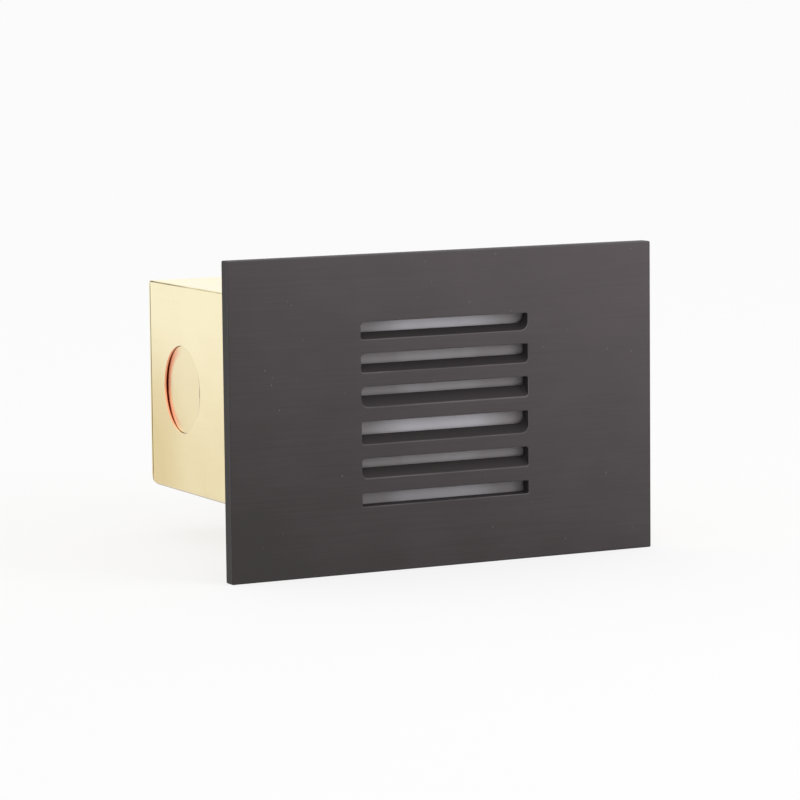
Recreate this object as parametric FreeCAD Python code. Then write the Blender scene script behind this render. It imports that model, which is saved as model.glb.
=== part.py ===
"""Recessed step light: a louvred faceplate on a folded brass wall box, with its lamp and wiring inside.

Millimetres. The origin is the centre of the wall plane, on which the back of the faceplate rests.
+X runs to the right of someone facing the light, +Y goes into the wall and +Z is up.
"""

import FreeCAD
import Part

import math
import os
from collections import namedtuple

Vector = FreeCAD.Vector

# Faceplate
PLATE_WIDTH = 114.3
PLATE_HEIGHT = 76.2
PLATE_THICKNESS = 3.2
PLATE_CORNER_RADIUS = 0.4
PLATE_EDGE_RADIUS = 0.3
RECESS_DEPTH = 0.5
RECESS_CLEARANCE = 0.3
BOSS_RADIUS = 3.0
BOSS_FLOOR = 1.8
BOSS_ROOT = 0.2

# Louvres in the faceplate. The field of slots is centred on the plate.
Slot = namedtuple("Slot", "height sill_angle upper_left upper_right lower_right lower_left")
LOUVRE_WIDTH = 45.2
LOUVRE_BAR_HEIGHT = 3.45
LOUVRE_HEAD_ANGLE = 24.0
LOUVRE_EDGE_RADIUS = 0.3
LOUVRE_RADIUS_LIMIT = 0.45
SLOTS = (
    Slot(height=4.25, sill_angle=31.0, upper_left=1.2, upper_right=0.5, lower_right=2.0, lower_left=0.4),
    Slot(height=4.50, sill_angle=36.0, upper_left=1.0, upper_right=0.4, lower_right=1.0, lower_left=0.6),
    Slot(height=4.90, sill_angle=45.0, upper_left=1.2, upper_right=0.5, lower_right=0.7, lower_left=1.9),
    Slot(height=5.40, sill_angle=39.0, upper_left=0.6, upper_right=0.4, lower_right=1.8, lower_left=0.5),
    Slot(height=4.75, sill_angle=42.0, upper_left=0.8, upper_right=0.7, lower_right=0.5, lower_left=1.4),
    Slot(height=3.15, sill_angle=6.0, upper_left=0.4, upper_right=0.4, lower_right=0.4, lower_left=0.4),
)

# Lens, its gasket and the frame that clamps them to the back of the plate
LENS_WIDTH = 50.0
LENS_HEIGHT = 47.4
LENS_THICKNESS = 3.0
LENS_CORNER_RADIUS = 1.5
GASKET_THICKNESS = 0.8
GASKET_BORDER = 1.4
FRAME_SHEET = 0.8
FRAME_LIP = 1.7
FRAME_RIM = 0.6
FRAME_SCREW_X = 29.0
FRAME_SCREW_Z = 20.0
FRAME_EAR = 3.4
FRAME_FLANGE_WIDTH = 24.0
FRAME_FLANGE_REACH = 28.0
FRAME_BEND_RADIUS = 1.0
FRAME_BEND_CLEARANCE = 0.2

# Leaf springs on the frame's flanges, which grip the side walls of the box
CLIP_SHEET = 0.4
CLIP_WIDTH = 12.0
CLIP_ROOM = 3.5
CLIP_FOOT_LENGTH = 5.3
CLIP_BOW_RISE = 5.5
CLIP_CREST_LENGTH = 5.0
CLIP_BEND_RADIUS = 2.0
CLIP_CREST_RADIUS = 8.0
CLIP_CLEARANCE = 0.15
CLIP_RIVET_RADIUS = 1.0
CLIP_RIVET_PITCH = 7.0

# Wall box, folded from one sheet. It sits a little above the middle of the plate.
OVERALL_DEPTH = 88.9
BOX_WIDTH = 78.0
BOX_HEIGHT = 52.8
BOX_RISE = 0.5
BOX_SHEET = 0.7
BOX_SIDE_BEND = 1.4
BOX_TOP_BEND = 1.5
BOX_BACK_BEND = 3.0
RIM_CLEARANCE = 0.1
SEAM_WIDTH = 0.28
SEAM_DEPTH = 0.3
TOP_SEAM_DROP = 0.28
BACK_SCREW_RADIUS = 2.25
BACK_SCREW_SPACING = 50.0

# Cable knockouts, one in each side wall, each held by a tab at its front edge
KNOCKOUT_RADIUS = 11.1
KNOCKOUT_FROM_BACK = 20.0
KNOCKOUT_GAP = 0.1
KNOCKOUT_TAB_WIDTH = 2.8
KNOCKOUT_TAB_CLEARANCE = 0.1
KNOCKOUT_TILT = 2.2

# Lamp bracket: a channel with its web towards the lens and its feet on the back of the box
BRACKET_WIDTH = 26.0
BRACKET_GAP = 22.0
BRACKET_SHEET = 1.0
BRACKET_BEND_RADIUS = 1.5
BRACKET_FOOT = 9.0
BRACKET_RIVET_RADIUS = 1.6
BRACKET_RIVET_INSET = 4.0

# Reflector dish between the bracket and the socket
REFLECTOR_DEPTH = 43.2
REFLECTOR_SHEET = 0.8
REFLECTOR_FLAT_WIDTH = 66.0
REFLECTOR_FLAT_HEIGHT = 41.0
REFLECTOR_LIP_DEPTH = 4.0
REFLECTOR_CORNER_RADIUS = 2.0
REFLECTOR_BOX_CLEARANCE = 1.2

# Ceramic lamp socket
SOCKET_WIDTH = 25.0
SOCKET_HEIGHT = 12.0
SOCKET_DEPTH = 10.0
SOCKET_CORNER_RADIUS = 3.0
SOCKET_SCREW_SPACING = 18.0
SOCKET_COUNTERBORE_DEPTH = 5.0
CONTACT_WIDTH = 2.2
CONTACT_HEIGHT = 3.0
CONTACT_LENGTH = 6.0
CONTACT_SETBACK = 1.2
CONTACT_CLEARANCE = 0.05
CONTACT_WALL = 0.5

# Two-pin lamp
PIN_SPACING = 4.0
PIN_RADIUS = 0.35
PIN_LENGTH = 6.5
PIN_ROOT = 4.0
LAMP_SEAT_GAP = 0.1
LAMP_BASE_RADIUS = 6.0
LAMP_BASE_DEPTH = 5.1
LAMP_BOARD_RADIUS = 15.0
LAMP_BOARD_THICKNESS = 1.6
CHIP_WIDTH = 2.8
CHIP_LENGTH = 3.5
CHIP_THICKNESS = 0.7
OUTER_CHIPS = 9
OUTER_CHIP_RADIUS = 11.2
INNER_CHIPS = 3
INNER_CHIP_RADIUS = 4.6

# Bush that guards the leads where they pass through the reflector and the bracket
BUSH_HOLE_RADIUS = 4.6
BUSH_BORE_RADIUS = 3.4
BUSH_FLANGE_RADIUS = 5.6
BUSH_FLANGE_THICKNESS = 1.0

# Terminal block on the bracket's lower leg
BLOCK_WIDTH = 16.8
BLOCK_LENGTH = 17.0
BLOCK_HEIGHT = 10.0
BLOCK_DEPTH = 58.0
BARREL_RADIUS = 2.1
BARREL_BORE = 1.4
BARREL_LENGTH = 15.0
BARREL_PITCH = 8.4
BARREL_HEIGHT = 4.5
TERMINAL_SCREW_INSET = 4.25
TERMINAL_WELL_RADIUS = 1.9
BLOCK_RECESS_RADIUS = 2.9
BLOCK_RECESS_DEPTH = 2.0

# Leads from the socket to the terminal block. The last straight ends at the barrel.
LEAD_DIAMETER = 1.6
LEAD_FIRST_RUN = 5.3
LEAD_LAST_RUN = 5.0
LEAD_ARC_SHARE = 0.45

# Fasteners: shank radius, head radius, head height, and nuts across their flats and thick
M3_RADIUS = 1.5
M3_HEAD_RADIUS = 2.75
M3_HEAD_HEIGHT = 1.8
M3_NUT_FLATS = 5.5
M3_NUT_THICKNESS = 2.4
M25_RADIUS = 1.25
M25_HEAD_RADIUS = 2.3
M25_HEAD_HEIGHT = 1.6
M25_NUT_FLATS = 5.0
M25_NUT_THICKNESS = 2.0
TERMINAL_SCREW_RADIUS = 1.2
TERMINAL_SCREW_HEAD_RADIUS = 1.7
TERMINAL_SCREW_HEAD_HEIGHT = 1.2
TERMINAL_SCREW_REACH = 2.6
THREAD_CLEARANCE = 0.05
HOLE_CLEARANCE = 0.15
SCREW_END = 1.0
RIVET_HEAD_RATIO = 1.9
RIVET_HEAD_HEIGHT = 0.7
RIVET_DOME_SHARE = 0.8
SCREW_HEAD_ROUNDING = 0.25
DRIVE_SLOT_WIDTH = 0.5
DRIVE_SLOT_SHARE = 0.5

# Places that follow from the sizes above. Distances along Y are measured from the wall plane.
PLATE_FRONT = -PLATE_THICKNESS
RECESS_FLOOR = -RECESS_DEPTH
GASKET_BACK = RECESS_FLOOR + GASKET_THICKNESS
LENS_BACK = GASKET_BACK + LENS_THICKNESS
FRAME_BACK = LENS_BACK + FRAME_SHEET
BOX_RIM = RECESS_FLOOR + RIM_CLEARANCE
BOX_BACK = OVERALL_DEPTH - PLATE_THICKNESS
BOX_FLOOR = BOX_BACK - BOX_SHEET
BOX_INNER_X = BOX_WIDTH / 2 - BOX_SHEET
BOX_INNER_Z = BOX_HEIGHT / 2 - BOX_SHEET
BOX_TOP = BOX_RISE + BOX_HEIGHT / 2
BOX_BOTTOM = BOX_RISE - BOX_HEIGHT / 2
FLANGE_OUTER_X = BOX_INNER_X - CLIP_ROOM
CLIP_FOOT_START = FRAME_BACK + FRAME_BEND_RADIUS + FRAME_BEND_CLEARANCE
CLIP_RIVET_PLACE = CLIP_FOOT_START + CLIP_FOOT_LENGTH / 2
KNOCKOUT_CENTRE = BOX_BACK - KNOCKOUT_FROM_BACK
KNOCKOUT_HINGE = KNOCKOUT_CENTRE - KNOCKOUT_RADIUS
SOCKET_FRONT = REFLECTOR_DEPTH - SOCKET_DEPTH
CONTACT_BACK = REFLECTOR_DEPTH - CONTACT_SETBACK
CONTACT_FRONT = CONTACT_BACK - CONTACT_LENGTH
LAMP_BACK = SOCKET_FRONT - LAMP_SEAT_GAP
BOARD_BACK = LAMP_BACK - LAMP_BASE_DEPTH
BOARD_FRONT = BOARD_BACK - LAMP_BOARD_THICKNESS
WEB_FRONT = REFLECTOR_DEPTH + REFLECTOR_SHEET
WEB_BACK = WEB_FRONT + BRACKET_SHEET
LEG_FACE = BRACKET_GAP / 2
FOOT_FACE = BOX_FLOOR - BRACKET_SHEET
BRACKET_RIVET_Z = LEG_FACE + BRACKET_SHEET + BRACKET_FOOT - BRACKET_RIVET_INSET
BLOCK_BASE = -LEG_FACE
BLOCK_TOP = BLOCK_BASE + BLOCK_HEIGHT
BLOCK_CENTRE = BLOCK_DEPTH + BLOCK_LENGTH / 2
BARREL_Z = BLOCK_BASE + BARREL_HEIGHT
BARREL_FRONT = BLOCK_CENTRE - BARREL_LENGTH / 2
TERMINAL_SCREW_PLACES = (
    BLOCK_DEPTH + TERMINAL_SCREW_INSET,
    BLOCK_DEPTH + BLOCK_LENGTH - TERMINAL_SCREW_INSET,
)

ALONG_X = Vector(1, 0, 0)
ALONG_Y = Vector(0, 1, 0)
ALONG_Z = Vector(0, 0, 1)
SIDES = (-1, 1)
SPARE = 1.0


# Shapes that several pieces share

def rounded_wire(points, radii, closed=False):
    """Straight runs through the points, joined by a tangent arc at each corner whose radius is above zero."""
    count = len(points)
    enters = list(points)
    leaves = list(points)
    arcs = []
    corners = range(count) if closed else range(1, count - 1)
    for number, index in enumerate(corners):
        if radii[number] <= 0:
            continue
        corner = points[index]
        back = (points[index - 1] - corner).normalize()
        ahead = (points[(index + 1) % count] - corner).normalize()
        half = back.getAngle(ahead) / 2
        reach = radii[number] / math.tan(half)
        enters[index] = corner + back * reach
        leaves[index] = corner + ahead * reach
        to_centre = (back + ahead).normalize()
        middle = corner + to_centre * (radii[number] / math.sin(half) - radii[number])
        arcs.append((index, middle))
    edges = []
    middles = dict(arcs)
    for index in range(count):
        if index in middles:
            edges.append(Part.Arc(enters[index], middles[index], leaves[index]).toShape())
        if closed or index < count - 1:
            following = (index + 1) % count
            if leaves[index].distanceToPoint(enters[following]) > 1e-6:
                edges.append(Part.LineSegment(leaves[index], enters[following]).toShape())
    return Part.Wire(edges)


def rectangle(width, height, y, radii):
    """Upright rectangle centred on the Y axis, with its radii in the order that outline takes."""
    return outline(-width / 2, width / 2, -height / 2, height / 2, y, radii)


def outline(left, right, low, high, y, radii):
    """Upright rectangle with a radius at each corner: upper left, upper right, lower right, lower left."""
    corners = [Vector(left, y, high), Vector(right, y, high), Vector(right, y, low), Vector(left, y, low)]
    return rounded_wire(corners, radii, closed=True)


def slab(width, height, radius, front, back):
    """Plate across the Y axis with four equal corners."""
    wire = rectangle(width, height, front, [radius] * 4)
    return Part.Face(wire).extrude(ALONG_Y * (back - front))


def block(x_range, y_range, z_range):
    """Box between two limits on each axis."""
    low = Vector(x_range[0], y_range[0], z_range[0])
    return Part.makeBox(
        x_range[1] - x_range[0], y_range[1] - y_range[0], z_range[1] - z_range[0], low
    )


def rod(radius, start, direction, length):
    """Cylinder from a start point along a direction."""
    return Part.makeCylinder(radius, length, start, direction)


def bent_sheet(points, radii, thickness, width, width_axis):
    """Sheet of one thickness and width that follows a bent line through its middle."""
    spine = rounded_wire(points, radii)
    heading = (points[1] - points[0]).normalize()
    across = heading.cross(width_axis) * (thickness / 2)
    aside = width_axis * (width / 2)
    start = points[0]
    corners = [start + across + aside, start - across + aside, start - across - aside, start + across - aside]
    profile = Part.makePolygon(corners + corners[:1])
    return spine.makePipeShell([profile], True, False)


def slotted_screw(place, direction, radius, length, head_radius, head_height):
    """Screw whose head stands behind the place and whose shank runs along the direction."""
    head = rod(head_radius, place - direction * head_height, direction, head_height)
    rims = [edge for edge in head.Edges if is_circle_at(edge, place - direction * head_height)]
    head = head.makeFillet(head_height * SCREW_HEAD_ROUNDING, rims)
    side = direction.cross(ALONG_X if abs(direction.x) < 0.5 else ALONG_Y).normalize()
    cut_depth = head_height * DRIVE_SLOT_SHARE
    other = direction.cross(side)
    middle = place - direction * (head_height + SPARE)
    corner = middle - side * (DRIVE_SLOT_WIDTH / 2) - other * (head_radius + SPARE)
    face = Part.Face(Part.makePolygon([
        corner,
        corner + side * DRIVE_SLOT_WIDTH,
        corner + side * DRIVE_SLOT_WIDTH + other * (2 * (head_radius + SPARE)),
        corner + other * (2 * (head_radius + SPARE)),
        corner,
    ]))
    drive = face.extrude(direction * (cut_depth + SPARE))
    shank = rod(radius, place, direction, length)
    return head.cut(drive).fuse(shank).removeSplitter()


def is_circle_at(edge, centre):
    """Whether an edge is a circle about the given centre."""
    curve = edge.Curve
    return isinstance(curve, Part.Circle) and curve.Center.distanceToPoint(centre) < 1e-6


def hex_nut(place, direction, flats, thickness, hole_radius):
    """Nut that starts at the place and is thick along the direction, with flats facing X."""
    aside = ALONG_X
    other = direction.cross(aside)
    reach = flats / 2 / math.cos(math.pi / 6)
    corners = []
    for step in range(7):
        angle = math.radians(30 + 60 * step)
        corners.append(place + aside * (reach * math.cos(angle)) + other * (reach * math.sin(angle)))
    body = Part.Face(Part.makePolygon(corners)).extrude(direction * thickness)
    hole = rod(hole_radius, place - direction * SPARE, direction, thickness + 2 * SPARE)
    return body.cut(hole)


def rivet_head(place, direction, radius):
    """Low domed rivet head that stands on the place and rises along the direction."""
    head_radius = radius * RIVET_HEAD_RATIO
    head = rod(head_radius, place, direction, RIVET_HEAD_HEIGHT)
    rims = [edge for edge in head.Edges if is_circle_at(edge, place + direction * RIVET_HEAD_HEIGHT)]
    return head.makeFillet(RIVET_HEAD_HEIGHT * RIVET_DOME_SHARE, rims)


def joined(shapes):
    """One solid out of several that meet or overlap."""
    shape = shapes[0]
    for other in shapes[1:]:
        shape = shape.fuse(other)
    return shape.removeSplitter()


# Faceplate

def slot_cuts():
    """The louvre openings. Each sill and each head after the first rises towards the back."""
    depth = PLATE_THICKNESS - RECESS_DEPTH
    through = depth + 2 * SPARE
    start = PLATE_FRONT - SPARE
    height = sum(slot.height for slot in SLOTS) + LOUVRE_BAR_HEIGHT * (len(SLOTS) - 1)
    top = height / 2
    cuts = []
    for number, slot in enumerate(SLOTS):
        head_rise = math.tan(math.radians(LOUVRE_HEAD_ANGLE)) if number else 0.0
        sill_rise = math.tan(math.radians(slot.sill_angle))
        limit = slot.height * LOUVRE_RADIUS_LIMIT
        radii = [min(radius, limit) for radius in slot[2:]]
        bottom = top - slot.height
        sill_wire = outline(-LOUVRE_WIDTH / 2, LOUVRE_WIDTH / 2, bottom, top, start, radii)
        sill_wire.translate(ALONG_Z * (-SPARE * sill_rise))
        sill_cut = Part.Face(sill_wire).extrude(Vector(0, through, through * sill_rise))
        head_radii = radii[:2] + [limit, limit]
        head_wire = outline(
            -LOUVRE_WIDTH / 2, LOUVRE_WIDTH / 2, bottom - slot.height, top, start, head_radii
        )
        head_wire.translate(ALONG_Z * (-SPARE * head_rise))
        head_cut = Part.Face(head_wire).extrude(Vector(0, through, through * head_rise))
        cuts.append(sill_cut.common(head_cut))
        top = bottom - LOUVRE_BAR_HEIGHT
    return cuts


def front_edges(shape, inside):
    """Edges in the plate's front plane, either those of the louvre slots or those around the plate."""
    chosen = []
    for edge in shape.Edges:
        box = edge.BoundBox
        in_plane = abs(box.YMin - PLATE_FRONT) < 1e-4 and abs(box.YMax - PLATE_FRONT) < 1e-4
        reach = max(abs(box.XMin), abs(box.XMax))
        if in_plane and (reach < LOUVRE_WIDTH / 2 + SPARE) == inside:
            chosen.append(edge)
    return chosen


def rim_recess():
    """Shallow recess in the plate's back: square at the top like the box's rim, rounded at the bottom."""
    lower = BOX_SIDE_BEND + RECESS_CLEARANCE
    wire = rectangle(
        BOX_WIDTH + 2 * RECESS_CLEARANCE, BOX_HEIGHT + 2 * RECESS_CLEARANCE, RECESS_FLOOR,
        [RECESS_CLEARANCE, RECESS_CLEARANCE, lower, lower],
    )
    wire.translate(ALONG_Z * BOX_RISE)
    return Part.Face(wire).extrude(ALONG_Y * (RECESS_DEPTH + SPARE))


def boss_places():
    """Centres of the four screws that hold the lens frame, as X and Z."""
    return [(side * FRAME_SCREW_X, up * FRAME_SCREW_Z) for side in SIDES for up in SIDES]


def faceplate():
    """Plate with rounded front edges, louvres, a recess for the box's rim and four screw bosses."""
    plate = slab(PLATE_WIDTH, PLATE_HEIGHT, PLATE_CORNER_RADIUS, PLATE_FRONT, 0)
    plate = plate.makeFillet(PLATE_EDGE_RADIUS, front_edges(plate, inside=False))
    plate = plate.cut(rim_recess())
    for cut in slot_cuts():
        plate = plate.cut(cut)
    plate = plate.makeFillet(LOUVRE_EDGE_RADIUS, front_edges(plate, inside=True))
    for x, z in boss_places():
        root = Vector(x, RECESS_FLOOR - BOSS_ROOT, z)
        boss = rod(BOSS_RADIUS, root, ALONG_Y, LENS_BACK - root.y)
        plate = plate.fuse(boss)
    for x, z in boss_places():
        start = Vector(x, PLATE_FRONT + BOSS_FLOOR, z)
        plate = plate.cut(rod(M3_RADIUS + THREAD_CLEARANCE, start, ALONG_Y, LENS_BACK - start.y + SPARE))
    return plate.removeSplitter()


# Lens and its frame

def lens_gasket():
    """Flat rubber ring between the plate and the lens."""
    ring = slab(LENS_WIDTH, LENS_HEIGHT, LENS_CORNER_RADIUS, RECESS_FLOOR, GASKET_BACK)
    window = slab(
        LENS_WIDTH - 2 * GASKET_BORDER, LENS_HEIGHT - 2 * GASKET_BORDER, LENS_CORNER_RADIUS / 2,
        RECESS_FLOOR - SPARE, GASKET_BACK + SPARE,
    )
    return ring.cut(window)


def lens_glass():
    """Frosted pane behind the louvres."""
    return slab(LENS_WIDTH, LENS_HEIGHT, LENS_CORNER_RADIUS, GASKET_BACK, LENS_BACK)


def lens_frame():
    """Sheet frame that clamps the lens, with a flange bent back at each side for a leaf spring."""
    half_width = FRAME_SCREW_X + FRAME_EAR
    frame = slab(
        2 * half_width, LENS_HEIGHT + 2 * FRAME_RIM, LENS_CORNER_RADIUS, LENS_BACK, FRAME_BACK
    )
    for side in SIDES:
        middle_y = LENS_BACK + FRAME_SHEET / 2
        middle_x = side * (FLANGE_OUTER_X - FRAME_SHEET / 2)
        flange = bent_sheet(
            [
                Vector(side * FRAME_SCREW_X, middle_y, 0),
                Vector(middle_x, middle_y, 0),
                Vector(middle_x, FRAME_FLANGE_REACH, 0),
            ],
            [FRAME_BEND_RADIUS], FRAME_SHEET, FRAME_FLANGE_WIDTH, ALONG_Z,
        )
        frame = frame.fuse(flange)
    window = slab(
        LENS_WIDTH - 2 * FRAME_LIP, LENS_HEIGHT - 2 * FRAME_LIP, LENS_CORNER_RADIUS / 2,
        LENS_BACK - SPARE, FRAME_BACK + SPARE,
    )
    frame = frame.cut(window)
    for x, z in boss_places():
        start = Vector(x, LENS_BACK - SPARE, z)
        frame = frame.cut(rod(M3_RADIUS + HOLE_CLEARANCE, start, ALONG_Y, FRAME_SHEET + 2 * SPARE))
    for place in clip_rivet_places():
        start = Vector(place.x - 2 * SPARE, place.y, place.z)
        frame = frame.cut(rod(CLIP_RIVET_RADIUS + THREAD_CLEARANCE, start, ALONG_X, 4 * SPARE))
    return frame.removeSplitter()


def lens_frame_screws():
    """Four screws from behind the frame into the plate's bosses."""
    length = FRAME_BACK - PLATE_FRONT - BOSS_FLOOR - SCREW_END / 2
    screws = []
    for x, z in boss_places():
        place = Vector(x, FRAME_BACK, z)
        screws.append(slotted_screw(place, -ALONG_Y, M3_RADIUS, length, M3_HEAD_RADIUS, M3_HEAD_HEIGHT))
    return Part.makeCompound(screws)


def clip_rivet_places():
    """Points on the outer faces of the frame's flanges where the leaf springs are riveted."""
    places = []
    for side in SIDES:
        for up in SIDES:
            places.append(Vector(side * FLANGE_OUTER_X, CLIP_RIVET_PLACE, up * CLIP_RIVET_PITCH / 2))
    return places


def spring_clip(side):
    """Leaf spring: a foot on the flange, then a bow whose crest meets the wall of the box."""
    foot_x = FLANGE_OUTER_X + CLIP_SHEET / 2
    crest_x = BOX_INNER_X - CLIP_CLEARANCE - CLIP_SHEET / 2
    tail_x = foot_x + CLIP_CLEARANCE
    foot_end = CLIP_FOOT_START + CLIP_FOOT_LENGTH
    crest_start = foot_end + CLIP_BOW_RISE
    crest_end = crest_start + CLIP_CREST_LENGTH
    stations = [
        (foot_x, CLIP_FOOT_START),
        (foot_x, foot_end),
        (crest_x, crest_start),
        (crest_x, crest_end),
        (tail_x, crest_end + CLIP_BOW_RISE),
    ]
    points = [Vector(side * x, y, 0) for x, y in stations]
    radii = [CLIP_BEND_RADIUS, CLIP_CREST_RADIUS, CLIP_CREST_RADIUS]
    clip = bent_sheet(points, radii, CLIP_SHEET, CLIP_WIDTH, ALONG_Z)
    for place in clip_rivet_places():
        start = Vector(place.x - SPARE, place.y, place.z)
        clip = clip.cut(rod(CLIP_RIVET_RADIUS + THREAD_CLEARANCE, start, ALONG_X, 2 * SPARE))
    return clip


def clip_rivets():
    """Two rivets through each leaf spring's foot and its flange, with a head on both sides."""
    rivets = []
    for place in clip_rivet_places():
        outwards = ALONG_X * math.copysign(1, place.x)
        inner = place - outwards * FRAME_SHEET
        outer = place + outwards * CLIP_SHEET
        shank = rod(CLIP_RIVET_RADIUS, inner, outwards, FRAME_SHEET + CLIP_SHEET)
        rivets.append(joined([
            shank,
            rivet_head(inner, -outwards, CLIP_RIVET_RADIUS),
            rivet_head(outer, outwards, CLIP_RIVET_RADIUS),
        ]))
    return Part.makeCompound(rivets)


# Wall box

def box_form(inset, front):
    """Outer or inner form of the folded box: rounded where the sheet is bent, square where it is joined."""
    half_x = BOX_WIDTH / 2 - inset
    half_z = BOX_HEIGHT / 2 - inset
    low = BOX_BOTTOM + inset
    high = BOX_TOP - inset
    back = BOX_BACK - inset
    corners = [
        Vector(-half_x, front, low), Vector(-half_x, back, low),
        Vector(-half_x, back, high), Vector(-half_x, front, high),
    ]
    profile = rounded_wire(
        corners, [0.0, BOX_BACK_BEND - inset, BOX_TOP_BEND - inset, 0.0], closed=True
    )
    along = Part.Face(profile).extrude(ALONG_X * (2 * half_x))
    side_bend = BOX_SIDE_BEND - inset
    section = rectangle(2 * half_x, 2 * half_z, front, [0.0, 0.0, side_bend, side_bend])
    section.translate(ALONG_Z * BOX_RISE)
    across = Part.Face(section).extrude(ALONG_Y * (back - front))
    return along.common(across)


def seam_cuts():
    """Fine grooves in each side, along its top edge and along its back edge."""
    seam_z = BOX_TOP - TOP_SEAM_DROP
    cuts = []
    for side in SIDES:
        outer = side * BOX_WIDTH / 2
        across = sorted((outer - side * SEAM_DEPTH, outer + side * SPARE))
        cuts.append(block(
            across, (BOX_RIM - SPARE, BOX_BACK - BOX_TOP_BEND),
            (seam_z - SEAM_WIDTH / 2, seam_z + SEAM_WIDTH / 2),
        ))
        cuts.append(block(
            across, (BOX_FLOOR - SEAM_WIDTH / 2, BOX_FLOOR + SEAM_WIDTH / 2),
            (BOX_BOTTOM + BOX_BACK_BEND, BOX_TOP - BOX_TOP_BEND),
        ))
    return cuts


def back_box():
    """Open box with seams, a knockout hole in each side and holes in its back."""
    box = box_form(0.0, BOX_RIM).cut(box_form(BOX_SHEET, BOX_RIM - SPARE))
    for side in SIDES:
        start = Vector(side * (BOX_INNER_X - SPARE), KNOCKOUT_CENTRE, BOX_RISE)
        box = box.cut(rod(KNOCKOUT_RADIUS, start, ALONG_X * side, BOX_SHEET + 2 * SPARE))
        start = Vector(side * BACK_SCREW_SPACING / 2, BOX_FLOOR - SPARE, 0)
        box = box.cut(rod(BACK_SCREW_RADIUS, start, ALONG_Y, BOX_SHEET + 2 * SPARE))
        start = Vector(0, BOX_FLOOR - SPARE, side * BRACKET_RIVET_Z)
        box = box.cut(rod(BRACKET_RIVET_RADIUS + THREAD_CLEARANCE, start, ALONG_Y, BOX_SHEET + 2 * SPARE))
        box = box.cut(countersink(side * BRACKET_RIVET_Z, THREAD_CLEARANCE, SPARE))
    for cut in seam_cuts():
        box = box.cut(cut)
    return box


def countersink(z, clearance, beyond):
    """Cone at a rivet in the back of the box, from half the sheet's depth out to its outer face."""
    small = BRACKET_RIVET_RADIUS + clearance
    depth = BOX_SHEET / 2
    large = small + depth
    slope = (large - small) / depth
    start = Vector(0, BOX_BACK - depth, z)
    return Part.makeCone(small, large + slope * beyond, depth + beyond, start, ALONG_Y)


def knockout(side):
    """Round blank in the side wall, with a tab at its front edge, pushed in by a few degrees."""
    outer_x = side * BOX_WIDTH / 2
    start = Vector(outer_x, KNOCKOUT_CENTRE, BOX_RISE)
    disc = rod(KNOCKOUT_RADIUS - KNOCKOUT_GAP, start, ALONG_X * -side, BOX_SHEET)
    inner_x = outer_x - side * BOX_SHEET
    tab = block(
        sorted((outer_x, inner_x)),
        (KNOCKOUT_HINGE + KNOCKOUT_TAB_CLEARANCE, KNOCKOUT_CENTRE),
        (BOX_RISE - KNOCKOUT_TAB_WIDTH / 2, BOX_RISE + KNOCKOUT_TAB_WIDTH / 2),
    )
    blank = disc.fuse(tab).removeSplitter()
    blank.rotate(Vector(inner_x, KNOCKOUT_HINGE, 0), ALONG_Z * side, KNOCKOUT_TILT)
    return blank


# Bracket and reflector

def lamp_bracket():
    """Channel that carries the reflector and the socket, riveted to the back of the box by its feet."""
    middle = BRACKET_SHEET / 2
    web_y = WEB_FRONT + middle
    foot_y = BOX_FLOOR - middle
    leg_z = LEG_FACE + middle
    foot_z = LEG_FACE + BRACKET_SHEET + BRACKET_FOOT
    points = [
        Vector(0, foot_y, foot_z), Vector(0, foot_y, leg_z), Vector(0, web_y, leg_z),
        Vector(0, web_y, -leg_z), Vector(0, foot_y, -leg_z), Vector(0, foot_y, -foot_z),
    ]
    bracket = bent_sheet(points, [BRACKET_BEND_RADIUS] * 4, BRACKET_SHEET, BRACKET_WIDTH, ALONG_X)
    through = BRACKET_SHEET + 2 * SPARE
    bracket = bracket.cut(rod(BUSH_HOLE_RADIUS, Vector(0, WEB_FRONT - SPARE, 0), ALONG_Y, through))
    for side in SIDES:
        start = Vector(side * SOCKET_SCREW_SPACING / 2, WEB_FRONT - SPARE, 0)
        bracket = bracket.cut(rod(M25_RADIUS + HOLE_CLEARANCE, start, ALONG_Y, through))
        start = Vector(0, FOOT_FACE - SPARE, side * BRACKET_RIVET_Z)
        bracket = bracket.cut(rod(BRACKET_RIVET_RADIUS + THREAD_CLEARANCE, start, ALONG_Y, through))
    start = Vector(0, BLOCK_CENTRE, BLOCK_BASE - BRACKET_SHEET - SPARE)
    return bracket.cut(rod(M3_RADIUS + HOLE_CLEARANCE, start, ALONG_Z, through))


def bracket_rivets():
    """Two rivets that hold the bracket's feet, flush with the outside of the box."""
    rivets = []
    for side in SIDES:
        z = side * BRACKET_RIVET_Z
        place = Vector(0, FOOT_FACE, z)
        shank = rod(BRACKET_RIVET_RADIUS, place, ALONG_Y, BOX_BACK - FOOT_FACE)
        head = rivet_head(place, -ALONG_Y, BRACKET_RIVET_RADIUS)
        rivets.append(joined([shank, head, countersink(z, 0.0, 0.0)]))
    return Part.makeCompound(rivets)


def dish(flat_y, inset):
    """Solid form of the reflector: flat at the back and flared towards the front."""
    lip_y = REFLECTOR_DEPTH - REFLECTOR_LIP_DEPTH
    lip_width = 2 * (BOX_INNER_X - REFLECTOR_BOX_CLEARANCE - inset)
    lip_height = 2 * (BOX_INNER_Z - BOX_RISE - REFLECTOR_BOX_CLEARANCE - inset)
    radii = [REFLECTOR_CORNER_RADIUS] * 4
    flat = rectangle(REFLECTOR_FLAT_WIDTH - 2 * inset, REFLECTOR_FLAT_HEIGHT - 2 * inset, flat_y, radii)
    lip = rectangle(lip_width, lip_height, lip_y, radii)
    return Part.makeLoft([flat, lip], True, True)


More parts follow.
